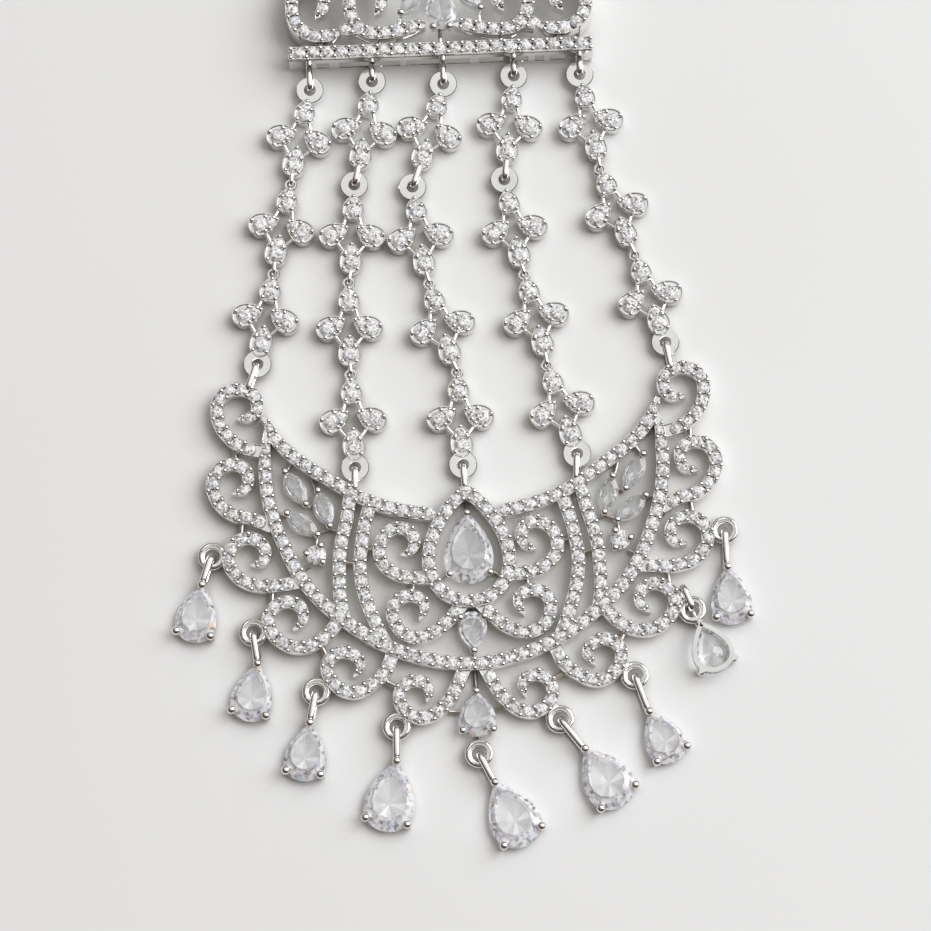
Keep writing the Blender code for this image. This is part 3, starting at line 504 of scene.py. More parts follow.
def brilliant(count, length, width, points, power, crown, pavilion,
              table_share=0.56, table_up=0.0, point_up=0.0):
    """A cut stone, girdle at height 0: table, star, kite and girdle facets above, and a faceted point below.
    With no pavilion it is closed flat, for a stone bedded in metal. The table and the point can lie off the
    stone's middle by shares of its length."""
    shape = bmesh.new()
    # The rim value says how much of the painted mosaic of glints a point carries; the spread value places the
    # painted fan under the table
    rim = shape.verts.layers.float.new("rim")
    fan = shape.verts.layers.float_vector.new("spread")

    def level(scale, height, number, shift, middle=0.0):
        rise = (1.0 - scale) * middle * length
        ring = [shape.verts.new((x * scale * MM, (y * scale + rise) * MM, height * MM))
                for x, y in gem_outline(number, length, width, points, power, shift)]
        for vert in ring:
            vert[rim] = max(0.0, (scale - table_share) / (1.0 - table_share)) * RIM_STRENGTH[points]
            vert[fan] = (vert.co.x / MM, vert.co.y / MM - point_up * length, 0.0)
        return ring

    table = level(table_share, crown, count, 0.0, table_up)
    middle = level((1.0 + table_share) / 2, crown * 0.55, count, 0.5, table_up)
    girdle = level(1.0, 0.03, 2 * count, 0.0)
    shape.faces.new(table[::-1])
    for i in range(count):
        j = (i + 1) % count
        right, left = girdle[(2 * i + 1) % (2 * count)], girdle[(2 * j) % (2 * count)]
        shape.faces.new((table[i], table[j], middle[i]))
        shape.faces.new((table[i], middle[i - 1], girdle[2 * i]))
        shape.faces.new((table[i], girdle[2 * i], middle[i]))
        shape.faces.new((middle[i], girdle[2 * i], right))
        shape.faces.new((middle[i], right, left))
    if pavilion:
        low_girdle = level(1.0, -0.03, 2 * count, 0.0)
        deep = level(0.62, -pavilion * 0.5, count, 0.5, point_up)
        core = level(0.3, -pavilion * 0.82, count, 0.0, point_up)
        culet = shape.verts.new((0.0, point_up * length * MM, -pavilion * MM))
        for i in range(count):
            j = (i + 1) % count
            below, below_left = low_girdle[(2 * i + 1) % (2 * count)], low_girdle[(2 * j) % (2 * count)]
            shape.faces.new((deep[i], low_girdle[2 * i], below))
            shape.faces.new((deep[i], below, below_left))
            shape.faces.new((deep[i - 1], low_girdle[2 * i], deep[i]))
            shape.faces.new((deep[i - 1], deep[i], core[i]))
            shape.faces.new((deep[i], core[j], core[i]))
            shape.faces.new((core[i], core[j], culet))
        for i in range(2 * count):
            j = (i + 1) % (2 * count)
            shape.faces.new((girdle[i], girdle[j], low_girdle[j], low_girdle[i]))
    else:
        shape.faces.new(girdle)
    bmesh.ops.recalc_face_normals(shape, faces=shape.faces)
    mesh = bpy.data.meshes.new("brilliant")
    shape.to_mesh(mesh)
    shape.free()
    return mesh


def melted_bead(radius):
    """The upper part of a small ball of metal, closed flat where it joins the band."""
    shape = bmesh.new()
    turns = [2 * math.pi * i / BEAD_SIDES for i in range(BEAD_SIDES)]
    rings = []
    for rise in BEAD_RISES:
        out, up = math.cos(rise) * radius * MM, math.sin(rise) * radius * MM
        rings.append([shape.verts.new((math.cos(a) * out, math.sin(a) * out, up)) for a in turns])
    top = shape.verts.new((0.0, 0.0, radius * MM))
    shape.faces.new(rings[0][::-1])
    for i in range(BEAD_SIDES):
        j = (i + 1) % BEAD_SIDES
        for low, high in zip(rings, rings[1:]):
            shape.faces.new((low[i], low[j], high[j], high[i]))
        shape.faces.new((rings[-1][i], rings[-1][j], top))
    mesh = bpy.data.meshes.new("melted_bead")
    shape.to_mesh(mesh)
    shape.free()
    return mesh


pave_cut = brilliant(8, 2 * PAVE_RADIUS, 2 * PAVE_RADIUS, 0, 1.0, 0.3, 0.0)
small_brilliant = bpy.data.objects.new("small_brilliant", pave_cut)
pave_bead = bpy.data.objects.new("pave_bead", melted_bead(PAVE_BEAD))
for pattern in (small_brilliant, pave_bead):
    bpy.context.scene.collection.objects.link(pattern)


def pave_work(name, rows, where, bare_start, bare_end, seed, metal_rows=None, section=None, pitch=PAVE_PITCH):
    """The metal, beads and stones of a group of pavé bands: two meshes, metal first."""
    edges = path_curve(name + "_metal", metal_rows or rows, where)
    strips = grown(edges, band_tree, {"Profile": section or band_cut, "Step": BAND_STEP * MM,
                                      "Material": rhodium})
    bpy.data.objects.remove(edges)
    paths = path_curve(name, rows, where)
    row = {"Pitch": pitch * MM, "Bare Start": bare_start * MM, "Bare End": bare_end * MM, "Tilt": STONE_TILT,
           "Aside": PAVE_BEAD_OFF * MM, "Seed": seed}
    beads = grown(paths, bead_tree, {**row, "Narrowest": NARROWEST_BEADED, "Lift": BEAD_LIFT * MM,
                                     "Item": pave_bead, "Material": rhodium})
    stones = grown(paths, stone_tree, {**row, "Narrowest": NARROWEST_SET, "Lift": STONE_LIFT * MM,
                                       "Item": small_brilliant, "Material": pave_stone})
    bpy.data.objects.remove(paths)
    return joined(strips, beads), stones


band_cut = band_section(BAND_DEPTH)
crescent_place = place(0.0, 0.0, CRESCENT_TURN)
halo_line = [(x + HALO["middle"][0], y + HALO["middle"][1])
             for x, y in gem_outline(HALO["points"], HALO["length"], HALO["width"], 1, HALO["power"])]
bands = [pave_work("outer", [([*mirrored(OUTER_BAND), *OUTER_BAND[::-1]], OUTER_TOP, False, TAPERED_ENDS)],
                   crescent_place, 1.5, 1.5, 3),
         pave_work("halo", [(halo_line, HALO_TOP, True, FULL_WIDTH)], crescent_place, -0.1, -0.1, 4),
         pave_work("upper", [(row, UPPER_TOP, False, HORN) for row in both_sides([UPPER_BAND[::-1]])],
                   crescent_place, -0.1, 0.2, 6),
         pave_work("struts", [(row, STRUT_TOP, False, FULL_WIDTH) for row in both_sides(STRUTS)],
                   crescent_place, 1.3, 1.3, 5)]

# The crescent's scrolls: each is a tapering pavé band that leaves the outer or inner edge, curls round and
# ends in a bare pointed tip. They are cast with the bands, and short soldered bridges tie neighbours.
SCROLL_TOP = 1.85
SCROLL_WIDTH = ((0.0, 1.0), (0.85, 0.95), (0.94, 0.68), (1.0, 0.1))
SCROLLS = (
    ((25.0, 13.6), (27.2, 14.2), (29.0, 15.5), (30.3, 17.6), (30.3, 20.2), (29.0, 21.5), (27.3, 21.7),
     (25.7, 20.8), (25.5, 18.9), (26.7, 18.0), (28.2, 18.1)),
    ((24.2, 4.0), (26.8, 5.2), (28.8, 5.7), (30.5, 7.1), (31.4, 9.4), (30.6, 11.5), (28.8, 12.2),
     (27.2, 11.4), (26.9, 9.7), (27.7, 8.7), (29.1, 8.5)),
    ((20.8, -3.1), (23.5, -3.4), (26.0, -3.35), (28.2, -2.5), (29.6, -0.6), (29.4, 1.5), (27.9, 2.65),
     (26.2, 2.5), (25.1, 1.1), (25.5, -0.4), (27.1, -0.7)),
    ((16.0, -7.7), (18.2, -10.2), (20.3, -11.2), (22.5, -11.1), (24.5, -9.6), (25.1, -7.5), (24.1, -6.0),
     (22.5, -5.5), (21.0, -6.3), (20.8, -8.0), (22.1, -9.1)),
    ((9.8, -12.2), (11.0, -14.9), (12.7, -16.3), (14.6, -17.2), (16.6, -16.7), (18.0, -14.8), (17.8, -13.0),
     (16.3, -12.1), (14.6, -12.6), (13.9, -14.0), (14.9, -15.3)),
    ((1.1, -14.6), (2.4, -17.3), (3.4, -18.8), (5.1, -20.3), (7.2, -20.7), (9.1, -19.4), (9.3, -17.4),
     (8.1, -16.2), (6.5, -16.3), (5.7, -17.4), (6.1, -18.8)),
    ((4.4, -3.45), (7.2, -3.3), (9.1, -2.7), (10.7, -1.3), (11.05, 0.5), (10.3, 2.2), (8.7, 3.1),
     (7.2, 2.6), (6.6, 1.3), (7.1, 0.1), (8.4, -0.4)),
    ((0.9, -6.7), (3.5, -9.4), (5.2, -10.4), (7.2, -10.8), (9.0, -9.8), (9.8, -7.7), (9.2, -6.1),
     (7.6, -5.5), (6.1, -6.1), (5.8, -7.3), (6.5, -8.6)),
)
BRIDGES = (((28.4, 12.0), (28.5, 15.0), 0.35),
           ((28.2, 2.4), (27.8, 5.5), 0.35), ((24.7, -6.3), (24.4, -3.5), 0.35),
           ((18.2, -12.2), (19.0, -10.6), 0.35), ((9.0, -17.0), (11.6, -15.6), 0.35),
           ((15.9, -0.7), (13.4, -1.2), 0.3), ((13.5, 0.6), (10.9, 0.7), 0.3),
           ((7.2, -5.7), (7.0, -3.2), 0.3))
BRIDGE_HEIGHT = 0.75


def tube(shape, points, radius, plane, closed=False, sides=10, widened=1.0):
    """A wire through the points, all in a plane with the given normal, round or widened across that plane."""
    plane = Vector(plane).normalized()
    rings = []
    for i, point in enumerate(points):
        before = points[i - 1] if i or closed else points[0]
        after = points[(i + 1) % len(points)] if i < len(points) - 1 or closed else points[-1]
        aside = plane.cross(Vector(after) - Vector(before)).normalized()
        rings.append([Vector(point) + (plane * math.cos(a) * widened + aside * math.sin(a)) * radius
                      for a in (2 * math.pi * s / sides for s in range(sides))])
    skin(shape, rings, closed)


def skin(shape, rings, closed=False):
    """Faces over a row of outlines: the last joins the first if closed, or else both ends are filled."""
    rows = [[shape.verts.new(p) for p in ring] for ring in rings]
    pairs = list(zip(rows, rows[1:])) + ([(rows[-1], rows[0])] if closed else [])
    for low, high in pairs:
        for i in range(len(low)):
            j = (i + 1) % len(low)
            shape.faces.new((low[i], low[j], high[j], high[i]))
    if not closed:
        shape.faces.new(rows[0][::-1])
        shape.faces.new(rows[-1])


def made_mesh(shape, where, material):
    bmesh.ops.recalc_face_normals(shape, faces=shape.faces)
    mesh = bpy.data.meshes.new("part")
    shape.to_mesh(mesh)
    shape.free()
    mesh.transform(where)
    mesh.materials.append(material)
    return mesh


scroll_rows = [(row, SCROLL_TOP, False, SCROLL_WIDTH) for row in both_sides(SCROLLS)]
scrolls_metal, scrolls_stones = pave_work("scrolls", scroll_rows, crescent_place, 1.0, 0.55, 7)
# The bridges and seat bars are dull solder: their roughness is the metal's own, and their dark brown-grey
# colour is painted shade, for bars that sit low between the bands
SOLDER_POLISH = (0.22, 0.42)
solder_with_painted_shade, nodes, shader, spot = new_material("solder_with_painted_shade", Metallic=1.0)
stain_and_shade = add_node(nodes, "ShaderNodeTexNoise", {"Vector": spot, "Scale": 900.0, "Detail": 4.0})
nodes.links.new(colour_steps(nodes, stain_and_shade.outputs["Fac"], ((0.3, (0.30, 0.25, 0.225, 1.0)),
                                                           (0.7, (0.56, 0.51, 0.475, 1.0)))),
                shader.inputs["Base Color"])
nodes.links.new(spread(nodes, stain_and_shade.outputs["Fac"], 0.0, 1.0, *SOLDER_POLISH), shader.inputs["Roughness"])
bridges = bmesh.new()
for start, end, radius in BRIDGES:
    for a, b in both_sides([(start, end)]):
        tube(bridges, [(*a, BRIDGE_HEIGHT), (*b, BRIDGE_HEIGHT)], radius, (0, 0, 1))

# The crescent's large stones: a pear in the halo, two smaller pears below it, three marquises in a fan and a
# round on each side. Each stands clear of the bands on a thin metal seat, held by round prongs with a bead on
# top, and thin soldered bars tie the seats to the bands.
SEAT_HEIGHTS, STONE_PRONG_HEIGHTS = (0.4, 1.45), (0.4, 1.9)
SEAT_WALL, SEAT_POINTS = 0.3, 36
GIRDLE_HEIGHT = 1.55
STONE_CROWN, STONE_PAVILION = 0.15, 0.24
STONES = (
    ("centre_pear", 0.0, 0.05, 0, 8.9, 6.1, 1), ("upper_small_pear", 0.0, -10.3, 180, 4.9, 3.6, 1),
    ("lower_small_pear", 0.0, -20.6, 0, 5.6, 4.6, 1),
    ("left_marquise_1", -21.1, 8.75, 30, 4.9, 2.45, 2), ("left_marquise_2", -17.7, 6.0, 16, 4.7, 2.45, 2),
    ("left_marquise_3", -20.45, 4.15, 52, 4.7, 2.45, 2), ("left_round", -18.85, 0.2, 0, 2.5, 2.5, 0),
    ("right_marquise_1", 21.1, 8.75, -30, 4.9, 2.45, 2), ("right_marquise_2", 17.7, 6.0, -16, 4.7, 2.45, 2),
    ("right_marquise_3", 20.45, 4.15, -52, 4.7, 2.45, 2), ("right_round", 18.85, 0.2, 0, 2.5, 2.5, 0),
)
STONE_POWER = {0: 1.0, 1: 0.75, 2: 0.6}
STONE_FACETS = {0: 8, 1: 14, 2: 12}
# The table's size and how far it lies up from the stone's middle, then how far up the bottom point lies
STONE_TABLE = {0: (0.56, 0.0, 0.0), 1: (0.69, 0.12, -0.12), 2: (0.6, 0.0, 0.0)}
PRONG_ANGLES = {0: (0.08, 0.40, 0.77), 1: (0.0, 0.375, 0.625), 2: (0.0, 0.5)}
PRONG_WIRE = 0.28
PRONG_BEAD = 0.5
SEAT_BARS = (((22.3, 10.9), (21.4, 12.4)), ((19.6, 6.4), (18.6, 7.2)), ((18.6, 8.4), (19.3, 10.6)),
             ((22.4, 5.4), (24.4, 6.4)), ((17.0, 3.6), (18.9, 2.9)), ((16.9, 3.4), (15.4, 3.2)),
             ((19.8, -1.0), (21.2, -1.8)), ((18.9, 0.9), (18.7, 2.6)), ((0.0, -6.4), (0.0, -9.0)),
             ((0.0, -12.2), (0.0, -14.2)), ((0.0, -14.4), (0.0, -18.4)), ((1.7, -20.2), (4.4, -19.9)),
             ((0.0, -22.8), (0.0, -24.4)), ((0.0, 4.2), (0.0, 6.6)), ((2.3, -2.4), (4.6, -4.0)))
SEAT_BAR_WIRE = 0.25
SEAT_BAR_HEIGHT = 0.5

# Painted glints: the rims of the large stones carry a mosaic of facet tones, dark to white with a few
# coloured ones for fire, painted into their colour
RIM_PAINTED_GLINTS = ((0.0, (0.30, 0.29, 0.31, 1.0)), (0.10, (0.50, 0.49, 0.52, 1.0)), (0.25, (0.70, 0.69, 0.73, 1.0)),
             (0.42, (0.90, 0.895, 0.925, 1.0)), (0.56, (1.0, 1.0, 1.0, 1.0)), (0.92, (0.74, 0.69, 0.84, 1.0)),
             (0.965, (0.98, 0.74, 0.52, 1.0)), (0.982, (0.62, 0.72, 0.93, 1.0)))
RIM_FACET = 0.42
# Under the table the bottom facets are painted as a fan of tones, painted reflections of those facets; the
# stone is clearer there than at its rim
FAN_FACETS = 13.0
FAN_PAINTED_REFLECTIONS = ((0.0, (0.64, 0.64, 0.645, 1.0)), (0.35, (0.72, 0.72, 0.725, 1.0)),
             (0.65, (0.79, 0.79, 0.795, 1.0)), (0.85, (0.95, 0.945, 0.95, 1.0)))
SEE_THROUGH = (0.80, 0.40)
clear_stone, nodes, shader, spot = new_material("clear_stone", Roughness=0.0, IOR=1.75)
rim = add_node(nodes, "ShaderNodeAttribute", attribute_name="rim").outputs["Fac"]
on_rim = spread(nodes, rim, 0.03, 0.25)
cells = add_node(nodes, "ShaderNodeTexVoronoi", {"Vector": spot, "Scale": 1.0 / (RIM_FACET * MM)})
painted_tone = add_node(nodes, "ShaderNodeSeparateColor", {"Color": cells.outputs["Color"]})
mosaic = colour_steps(nodes, painted_tone.outputs["Red"], RIM_PAINTED_GLINTS, "CONSTANT")
cut_spot = add_node(nodes, "ShaderNodeAttribute", attribute_name="spread").outputs["Vector"]
around = add_node(nodes, "ShaderNodeTexGradient", {"Vector": cut_spot}, gradient_type="RADIAL")
facet = sums(nodes, "FLOOR", sums(nodes, "MULTIPLY", around.outputs["Fac"], FAN_FACETS))
shade_of_facet = add_node(nodes, "ShaderNodeTexWhiteNoise", {"W": facet}, noise_dimensions="1D")
smooth = colour_steps(nodes, shade_of_facet.outputs["Value"], FAN_PAINTED_REFLECTIONS, "CONSTANT")
nodes.links.new(mixed_colour(nodes, on_rim, smooth, mosaic), shader.inputs["Base Color"])
nodes.links.new(spread(nodes, on_rim, 0.0, 1.0, *SEE_THROUGH), shader.inputs["Transmission Weight"])


def inset(outline, depth):
    """An outline moved inwards by a distance; the points run clockwise or anticlockwise alike."""
    turn = sum(a[0] * b[1] - b[0] * a[1] for a, b in zip(outline, outline[1:] + outline[:1]))
    moved = []
    for i, (x, y) in enumerate(outline):
        before, after = outline[i - 1], outline[(i + 1) % len(outline)]
        reach = math.dist(before, after)
        side = depth / reach if turn > 0 else -depth / reach
        moved.append((x - (after[1] - before[1]) * side, y + (after[0] - before[0]) * side))
    return moved


def prong(shape, x, y, low, high, wire=PRONG_WIRE, bead=PRONG_BEAD):
    """A round prong: an upright wire with a bead melted on its end."""
    tube(shape, [(x, y, low), (x, y, high)], wire, (1, 0, 0))
    bmesh.ops.create_icosphere(shape, subdivisions=3, radius=bead, matrix=Matrix.Translation((x, y, high)))


def turned_outline(outline, x, y, turn):
    cos, sin = math.cos(math.radians(turn)), math.sin(math.radians(turn))
    return [(x + p * cos - q * sin, y + p * sin + q * cos) for p, q in outline]


def seat(shape, outline, low, high, wall):
    """A thin upright wall of metal that follows a stone's outline."""
    inner = inset(outline, wall)
    skin(shape, [[(*p, low) for p in outline], [(*p, high) for p in outline],
                 [(*p, high) for p in inner], [(*p, low) for p in inner]], True)


def set_stone(shape, where, stone, grips, seat_heights, prong_heights, girdle):
    """A stone as a piece of its own, with its seat and prongs added to the shape of the metal."""
    name, x, y, turn, length, width, points = stone
    power = STONE_POWER[points]
    inside_seat = gem_outline(SEAT_POINTS, length - SEAT_WALL, width - SEAT_WALL, points, power)
    seat(shape, turned_outline(inside_seat, x, y, turn), *seat_heights, SEAT_WALL)
    for share in grips:
        (grip,) = turned_outline([gem_point(2 * math.pi * share, length, width, points, power)], x, y, turn)
        prong(shape, *grip, *prong_heights)
    cut = brilliant(STONE_FACETS[points], length, width, points, power, STONE_CROWN * width,
                    STONE_PAVILION * width, *STONE_TABLE[points])
    cut.transform(where @ Matrix.Translation((x, y, girdle)) @ Matrix.Rotation(math.radians(turn), 4, "Z")
                  @ Matrix.Scale(1 / MM, 4))
    cut.materials.append(clear_stone if points else pave_stone)
    finished(name + "_cut", cut, "clear_stone", name, sharp=0.0).visible_shadow = False


shape = bmesh.new()
for stone in STONES:
    grips = PRONG_ANGLES[stone[-1]]
    if stone[0] == "right_round":
        grips = [-share for share in grips]
    set_stone(shape, crescent_place, stone, grips, SEAT_HEIGHTS, STONE_PRONG_HEIGHTS, GIRDLE_HEIGHT)
for start, end in SEAT_BARS:
    for a, b in both_sides([(start, end)]):
        tube(bridges, [(*a, SEAT_BAR_HEIGHT), (*b, SEAT_BAR_HEIGHT)], SEAT_BAR_WIRE, (0, 0, 1))
finished("crescent_bridges", made_mesh(bridges, crescent_place, solder_with_painted_shade), "rhodium_white", "crescent_frame")
settings_metal = made_mesh(shape, crescent_place, rhodium)

# Rings and loops: nine thick turned rings are soldered round the crescent's edge for the drops, and plain
# upright wire loops join every ring to the next piece. The strands' own rings are flat stamped washers.
RING_Z = 1.1
DROP_RINGS = ((-31.75, 0.75), (-27.0, -9.05), (-19.55, -16.8), (-9.9, -21.6), (0.0, -25.45),
              (10.1, -21.7), (19.6, -16.8), (27.2, -9.0), (31.85, 0.8))
# Cuts through a ring's wall: how far out from its middle, and the height
DROP_RING_SECTION = ((0.88, -0.40), (0.86, 0.02), (0.92, 0.14), (1.00, 0.18), (1.08, 0.14), (1.13, 0.05),
                     (1.24, 0.05), (1.30, 0.16), (1.36, 0.38), (1.48, 0.48), (1.62, 0.44), (1.74, 0.28),
                     (1.78, 0.05), (1.76, -0.22), (1.66, -0.40), (1.50, -0.46))
WASHER_SECTION = ((0.70, -0.28), (0.70, 0.24), (0.76, 0.30), (1.68, 0.30), (1.77, 0.22), (1.77, -0.22),
                  (1.70, -0.28))
FINE_RING_SECTION = ((0.44, -0.16), (0.42, 0.06), (0.52, 0.2), (0.68, 0.2), (0.80, 0.06), (0.78, -0.16))
LOOP_WIRE, LOOP_REACH, LOOP_ROLL = 0.30, 0.80, 4.0
LOOP_WIDTH = 1.3
# Where the crescent holds the last loop of each strand
STRAND_FEET = {1: (-26.6, 21.5), 2: (-13.7, 7.9), 3: (0.0, 7.5), 4: (13.8, 7.9), 5: (26.6, 21.5)}
ARC_POINTS = 9


def turned_ring(shape, x, y, section, sides=40, z=RING_Z):
    skin(shape, [[(x + r * math.cos(a), y + r * math.sin(a), z + h)
                  for a in (2 * math.pi * s / sides for s in range(sides))] for r, h in section], True)


def upright_loop(shape, hole, foot, wire=LOOP_WIRE, reach=LOOP_REACH, roll=LOOP_ROLL):
    """A long wire link on edge: it drops through the hole at one end and is held at the foot."""
    length = max(math.dist(hole, foot), 2 * reach + 0.05)
    heading = math.atan2(foot[1] - hole[1], foot[0] - hole[0])
    turn = (Matrix.Translation((*hole, RING_Z)) @ Matrix.Rotation(heading, 4, "Z")
            @ Matrix.Rotation(math.radians(roll), 4, "X"))
    points = []
    for middle, start in ((reach, math.pi / 2), (length - reach, -math.pi / 2)):
        for i in range(ARC_POINTS):
            a = start + math.pi * i / (ARC_POINTS - 1)
            points.append(turn @ Vector((middle + reach * math.cos(a), 0.0, reach * math.sin(a))))
    tube(shape, points, wire, turn.to_3x3() @ Vector((0, 1, 0)), True, 12, LOOP_WIDTH)


shape = bmesh.new()
for x, y in DROP_RINGS:
    turned_ring(shape, *crescent_point(x, y), DROP_RING_SECTION)
rings_metal = made_mesh(shape, place(0.0, 0.0), rhodium)

# The five strands: separate cast links of four pavé petals round an open kite, each petal a pear-shaped cup
# with a thin raised rim, two small brilliants and beads. A washer or a fine ring is soldered above the top
# petal, and each link hangs from the loop of the one before it.
LINKS = {
    1: (((-21.6, 53.05, -11), "wide"), ((-23.7, 41.3, -11), "fine"), ((-25.55, 29.5, -9), "fine")),
    2: (((-13.3, 54.15, -8), "wide"), ((-14.75, 40.3, -2), "wide"), ((-15.0, 28.25, 1), "fine"),
        ((-14.45, 16.3, 3), "fine")),
    3: (((-5.0, 54.0, -15), "wide"), ((-6.1, 40.1, 8.5), "wide"), ((-3.3, 28.35, 16), "fine"),
        ((-1.05, 16.65, 3.5), "fine")),
    4: (((5.2, 54.9, -5), "wide"), ((5.8, 41.1, 10.5), "wide"), ((8.5, 29.5, 14), "fine"),
        ((11.7, 17.8, 18), "fine")),
    5: (((15.6, 55.2, 11.5), "wide"), ((18.8, 43.65, 20.5), "fine"), ((22.9, 32.15, 18), "fine")),
}
RING_UP = {"wide": 6.85, "fine": 5.97}
RING_SECTION = {"wide": WASHER_SECTION, "fine": FINE_RING_SECTION}
# The wire and the reach of the loop that goes through a ring of each kind
LOOP_INTO = {"wide": (LOOP_WIRE, LOOP_REACH), "fine": (0.2, 0.58)}
LAST_RING_DOWN = -5.93
LINK_LOOP_FOOT = -4.2
PETALS = ((0.0, 5.55, -90, 3.4, 2.75), (-0.45, 1.28, 210, 4.15, 3.05),
          (0.45, 1.28, -30, 4.15, 3.05), (0.0, -0.7, -90, 4.3, 2.9))
PETAL_WIRES = (((-0.8, 2.7), (-1.25, 1.2)), ((0.8, 2.7), (1.25, 1.2)),
               ((-1.9, -0.7), (-0.7, -2.2)), ((1.9, -0.7), (0.7, -2.2)))
PETAL_WIRE, PETAL_WIRE_HEIGHT = 0.22, 1.0
PETAL_LOW, PETAL_FLOOR, PETAL_HIGH = 0.25, 1.5, 1.78
# The outside and rim of a petal's cup: how far in from its outline, and the height
PETAL_WALL = ((0.12, PETAL_LOW), (0.0, PETAL_LOW + 0.15), (0.0, PETAL_HIGH - 0.07), (0.06, PETAL_HIGH),
              (0.12, PETAL_HIGH), (0.17, PETAL_HIGH - 0.06), (0.21, PETAL_FLOOR))
# Places in a petal as shares of its half length and half width, and radii in shares of its width
PETAL_STONES = ((0.0, -0.27, 0.33), (0.0, 0.42, 0.24))
PETAL_BEADS = ((-0.52, 0.20, 0.11), (0.52, 0.20, 0.11), (-0.60, -0.66, 0.10), (0.60, -0.66, 0.10),
               (0.0, 0.82, 0.09))
WIRE_BEAD = 0.3

scatter_tree, given = new_tree("set_on_points", {"Item": "Object", "Spin": "Float", "Seed": "Int",
                                                 "Material": "Material"})
size = add_node(scatter_tree, "GeometryNodeInputNamedAttribute", {"Name": "size"}, data_type="FLOAT")
most = vector(scatter_tree, Z=given["Spin"])
spin = add_node(scatter_tree, "FunctionNodeRandomValue", {0: (0.0, 0.0, 0.0), 1: most, "Seed": given["Seed"]},
                data_type="FLOAT_VECTOR")
placed = copies(scatter_tree, given["Geometry"], given["Item"], Rotation=spin.outputs[0],
                Scale=size.outputs[0])
end_tree(scatter_tree, placed, given["Material"])


def set_on_points(spots, item, material, spin, seed):
    """Copies of a stone or bead at the given points: x, y, z in the common millimetres and a size."""
    cloud = bpy.data.meshes.new("spots")
    cloud.from_pydata([place(x, y).translation + Vector((0, 0, z * MM)) for x, y, z, _ in spots], [], [])
    sizes = cloud.attributes.new("size", "FLOAT", "POINT")
    for value, row in zip(sizes.data, spots):
        value.value = row[3]
    holder = bpy.data.objects.new("spots", cloud)
    bpy.context.scene.collection.objects.link(holder)
    mesh = grown(holder, scatter_tree, {"Item": item, "Spin": spin, "Seed": seed, "Material": material})
    bpy.data.objects.remove(holder)
    return mesh


def moved(point, x, y, turn):
    (result,) = turned_outline([point], x, y, turn)
    return result


def petal_cup(shape, outline):
    skin(shape, [[(*p, z) for p in inset(outline, depth)] for depth, z in PETAL_WALL])


for strand, rows in LINKS.items():
    shape = bmesh.new()
    stone_spots, bead_spots = [], []
    for number, ((lx, ly, turn), kind) in enumerate(rows):
        for tip_x, tip_y, heading, length, width in PETALS:
            a = math.radians(heading)
            middle = (tip_x + math.cos(a) * length / 2, tip_y + math.sin(a) * length / 2)
            px, py = moved(middle, lx, ly, turn)
            facing = turn + heading + 90
            petal_cup(shape, turned_outline(gem_outline(28, length, width, 1, 0.65), px, py, facing))
            for spots, table, z, unit in ((stone_spots, PETAL_STONES, PETAL_HIGH - 0.16, PAVE_RADIUS),
                                          (bead_spots, PETAL_BEADS, PETAL_HIGH - 0.06, PAVE_BEAD)):
                for sx, sy, radius in table:
                    x, y = moved((sx * width / 2, sy * length / 2), px, py, facing)
                    spots.append((x, y, z, radius * width / unit))
        for ends in PETAL_WIRES:
            a, b = (moved(end, lx, ly, turn) for end in ends)
            tube(shape, [(*a, PETAL_WIRE_HEIGHT), (*b, PETAL_WIRE_HEIGHT)], PETAL_WIRE, (0, 0, 1))
            for end in (a, b):
                bead_spots.append((*end, PETAL_HIGH - 0.1, WIRE_BEAD / PAVE_BEAD))
        top = moved((0.0, RING_UP[kind]), lx, ly, turn)
        turned_ring(shape, *top, RING_SECTION[kind])
        if number == len(rows) - 1:
            turned_ring(shape, *moved((0.0, LAST_RING_DOWN), lx, ly, turn), WASHER_SECTION)
        else:
            (nx, ny, next_turn), next_kind = rows[number + 1]
            hole = moved((0.0, RING_UP[next_kind]), nx, ny, next_turn)
            upright_loop(shape, hole, moved((0.0, LINK_LOOP_FOOT), lx, ly, turn), *LOOP_INTO[next_kind])
    nodes_of = [f"strand_{strand}_link_{n + 1}" for n in range(len(rows))]
    beads = set_on_points(bead_spots, pave_bead, rhodium, 0.0, strand)
    stones = set_on_points(stone_spots, small_brilliant, pave_stone, math.pi, strand + 20)
    links = joined(made_mesh(shape, place(0.0, 0.0), rhodium), beads)
    finished(f"strand_{strand}_links", links, "rhodium_white", *nodes_of)
    finished(f"strand_{strand}_stones", stones, "clear_stone", sharp=0.0)

# The loops that hold the strands' last washers are soldered to the crescent's upper edge and to its two
# horns. The crescent's bands, scrolls, settings and rings are one casting, and they are finished here.
shape = bmesh.new()
for strand, foot in STRAND_FEET.items():
    (lx, ly, turn), _ = LINKS[strand][-1]
    upright_loop(shape, moved((0.0, LAST_RING_DOWN), lx, ly, turn), crescent_point(*foot))
crescent_loops = made_mesh(shape, place(0.0, 0.0), rhodium)
finished("crescent_bands", joined(*(band[0] for band in bands)), "rhodium_white", "crescent_frame")
finished("crescent_scrolls", scrolls_metal, "rhodium_white", "crescent_frame")
finished("crescent_settings", joined(settings_metal, rings_metal, crescent_loops), "rhodium_white",
         "crescent_frame", sharp=50.0)
finished("crescent_pave", joined(*(band[1] for band in bands)), "clear_stone", sharp=0.0)
finished("scroll_pave", scrolls_stones, "clear_stone", sharp=0.0)

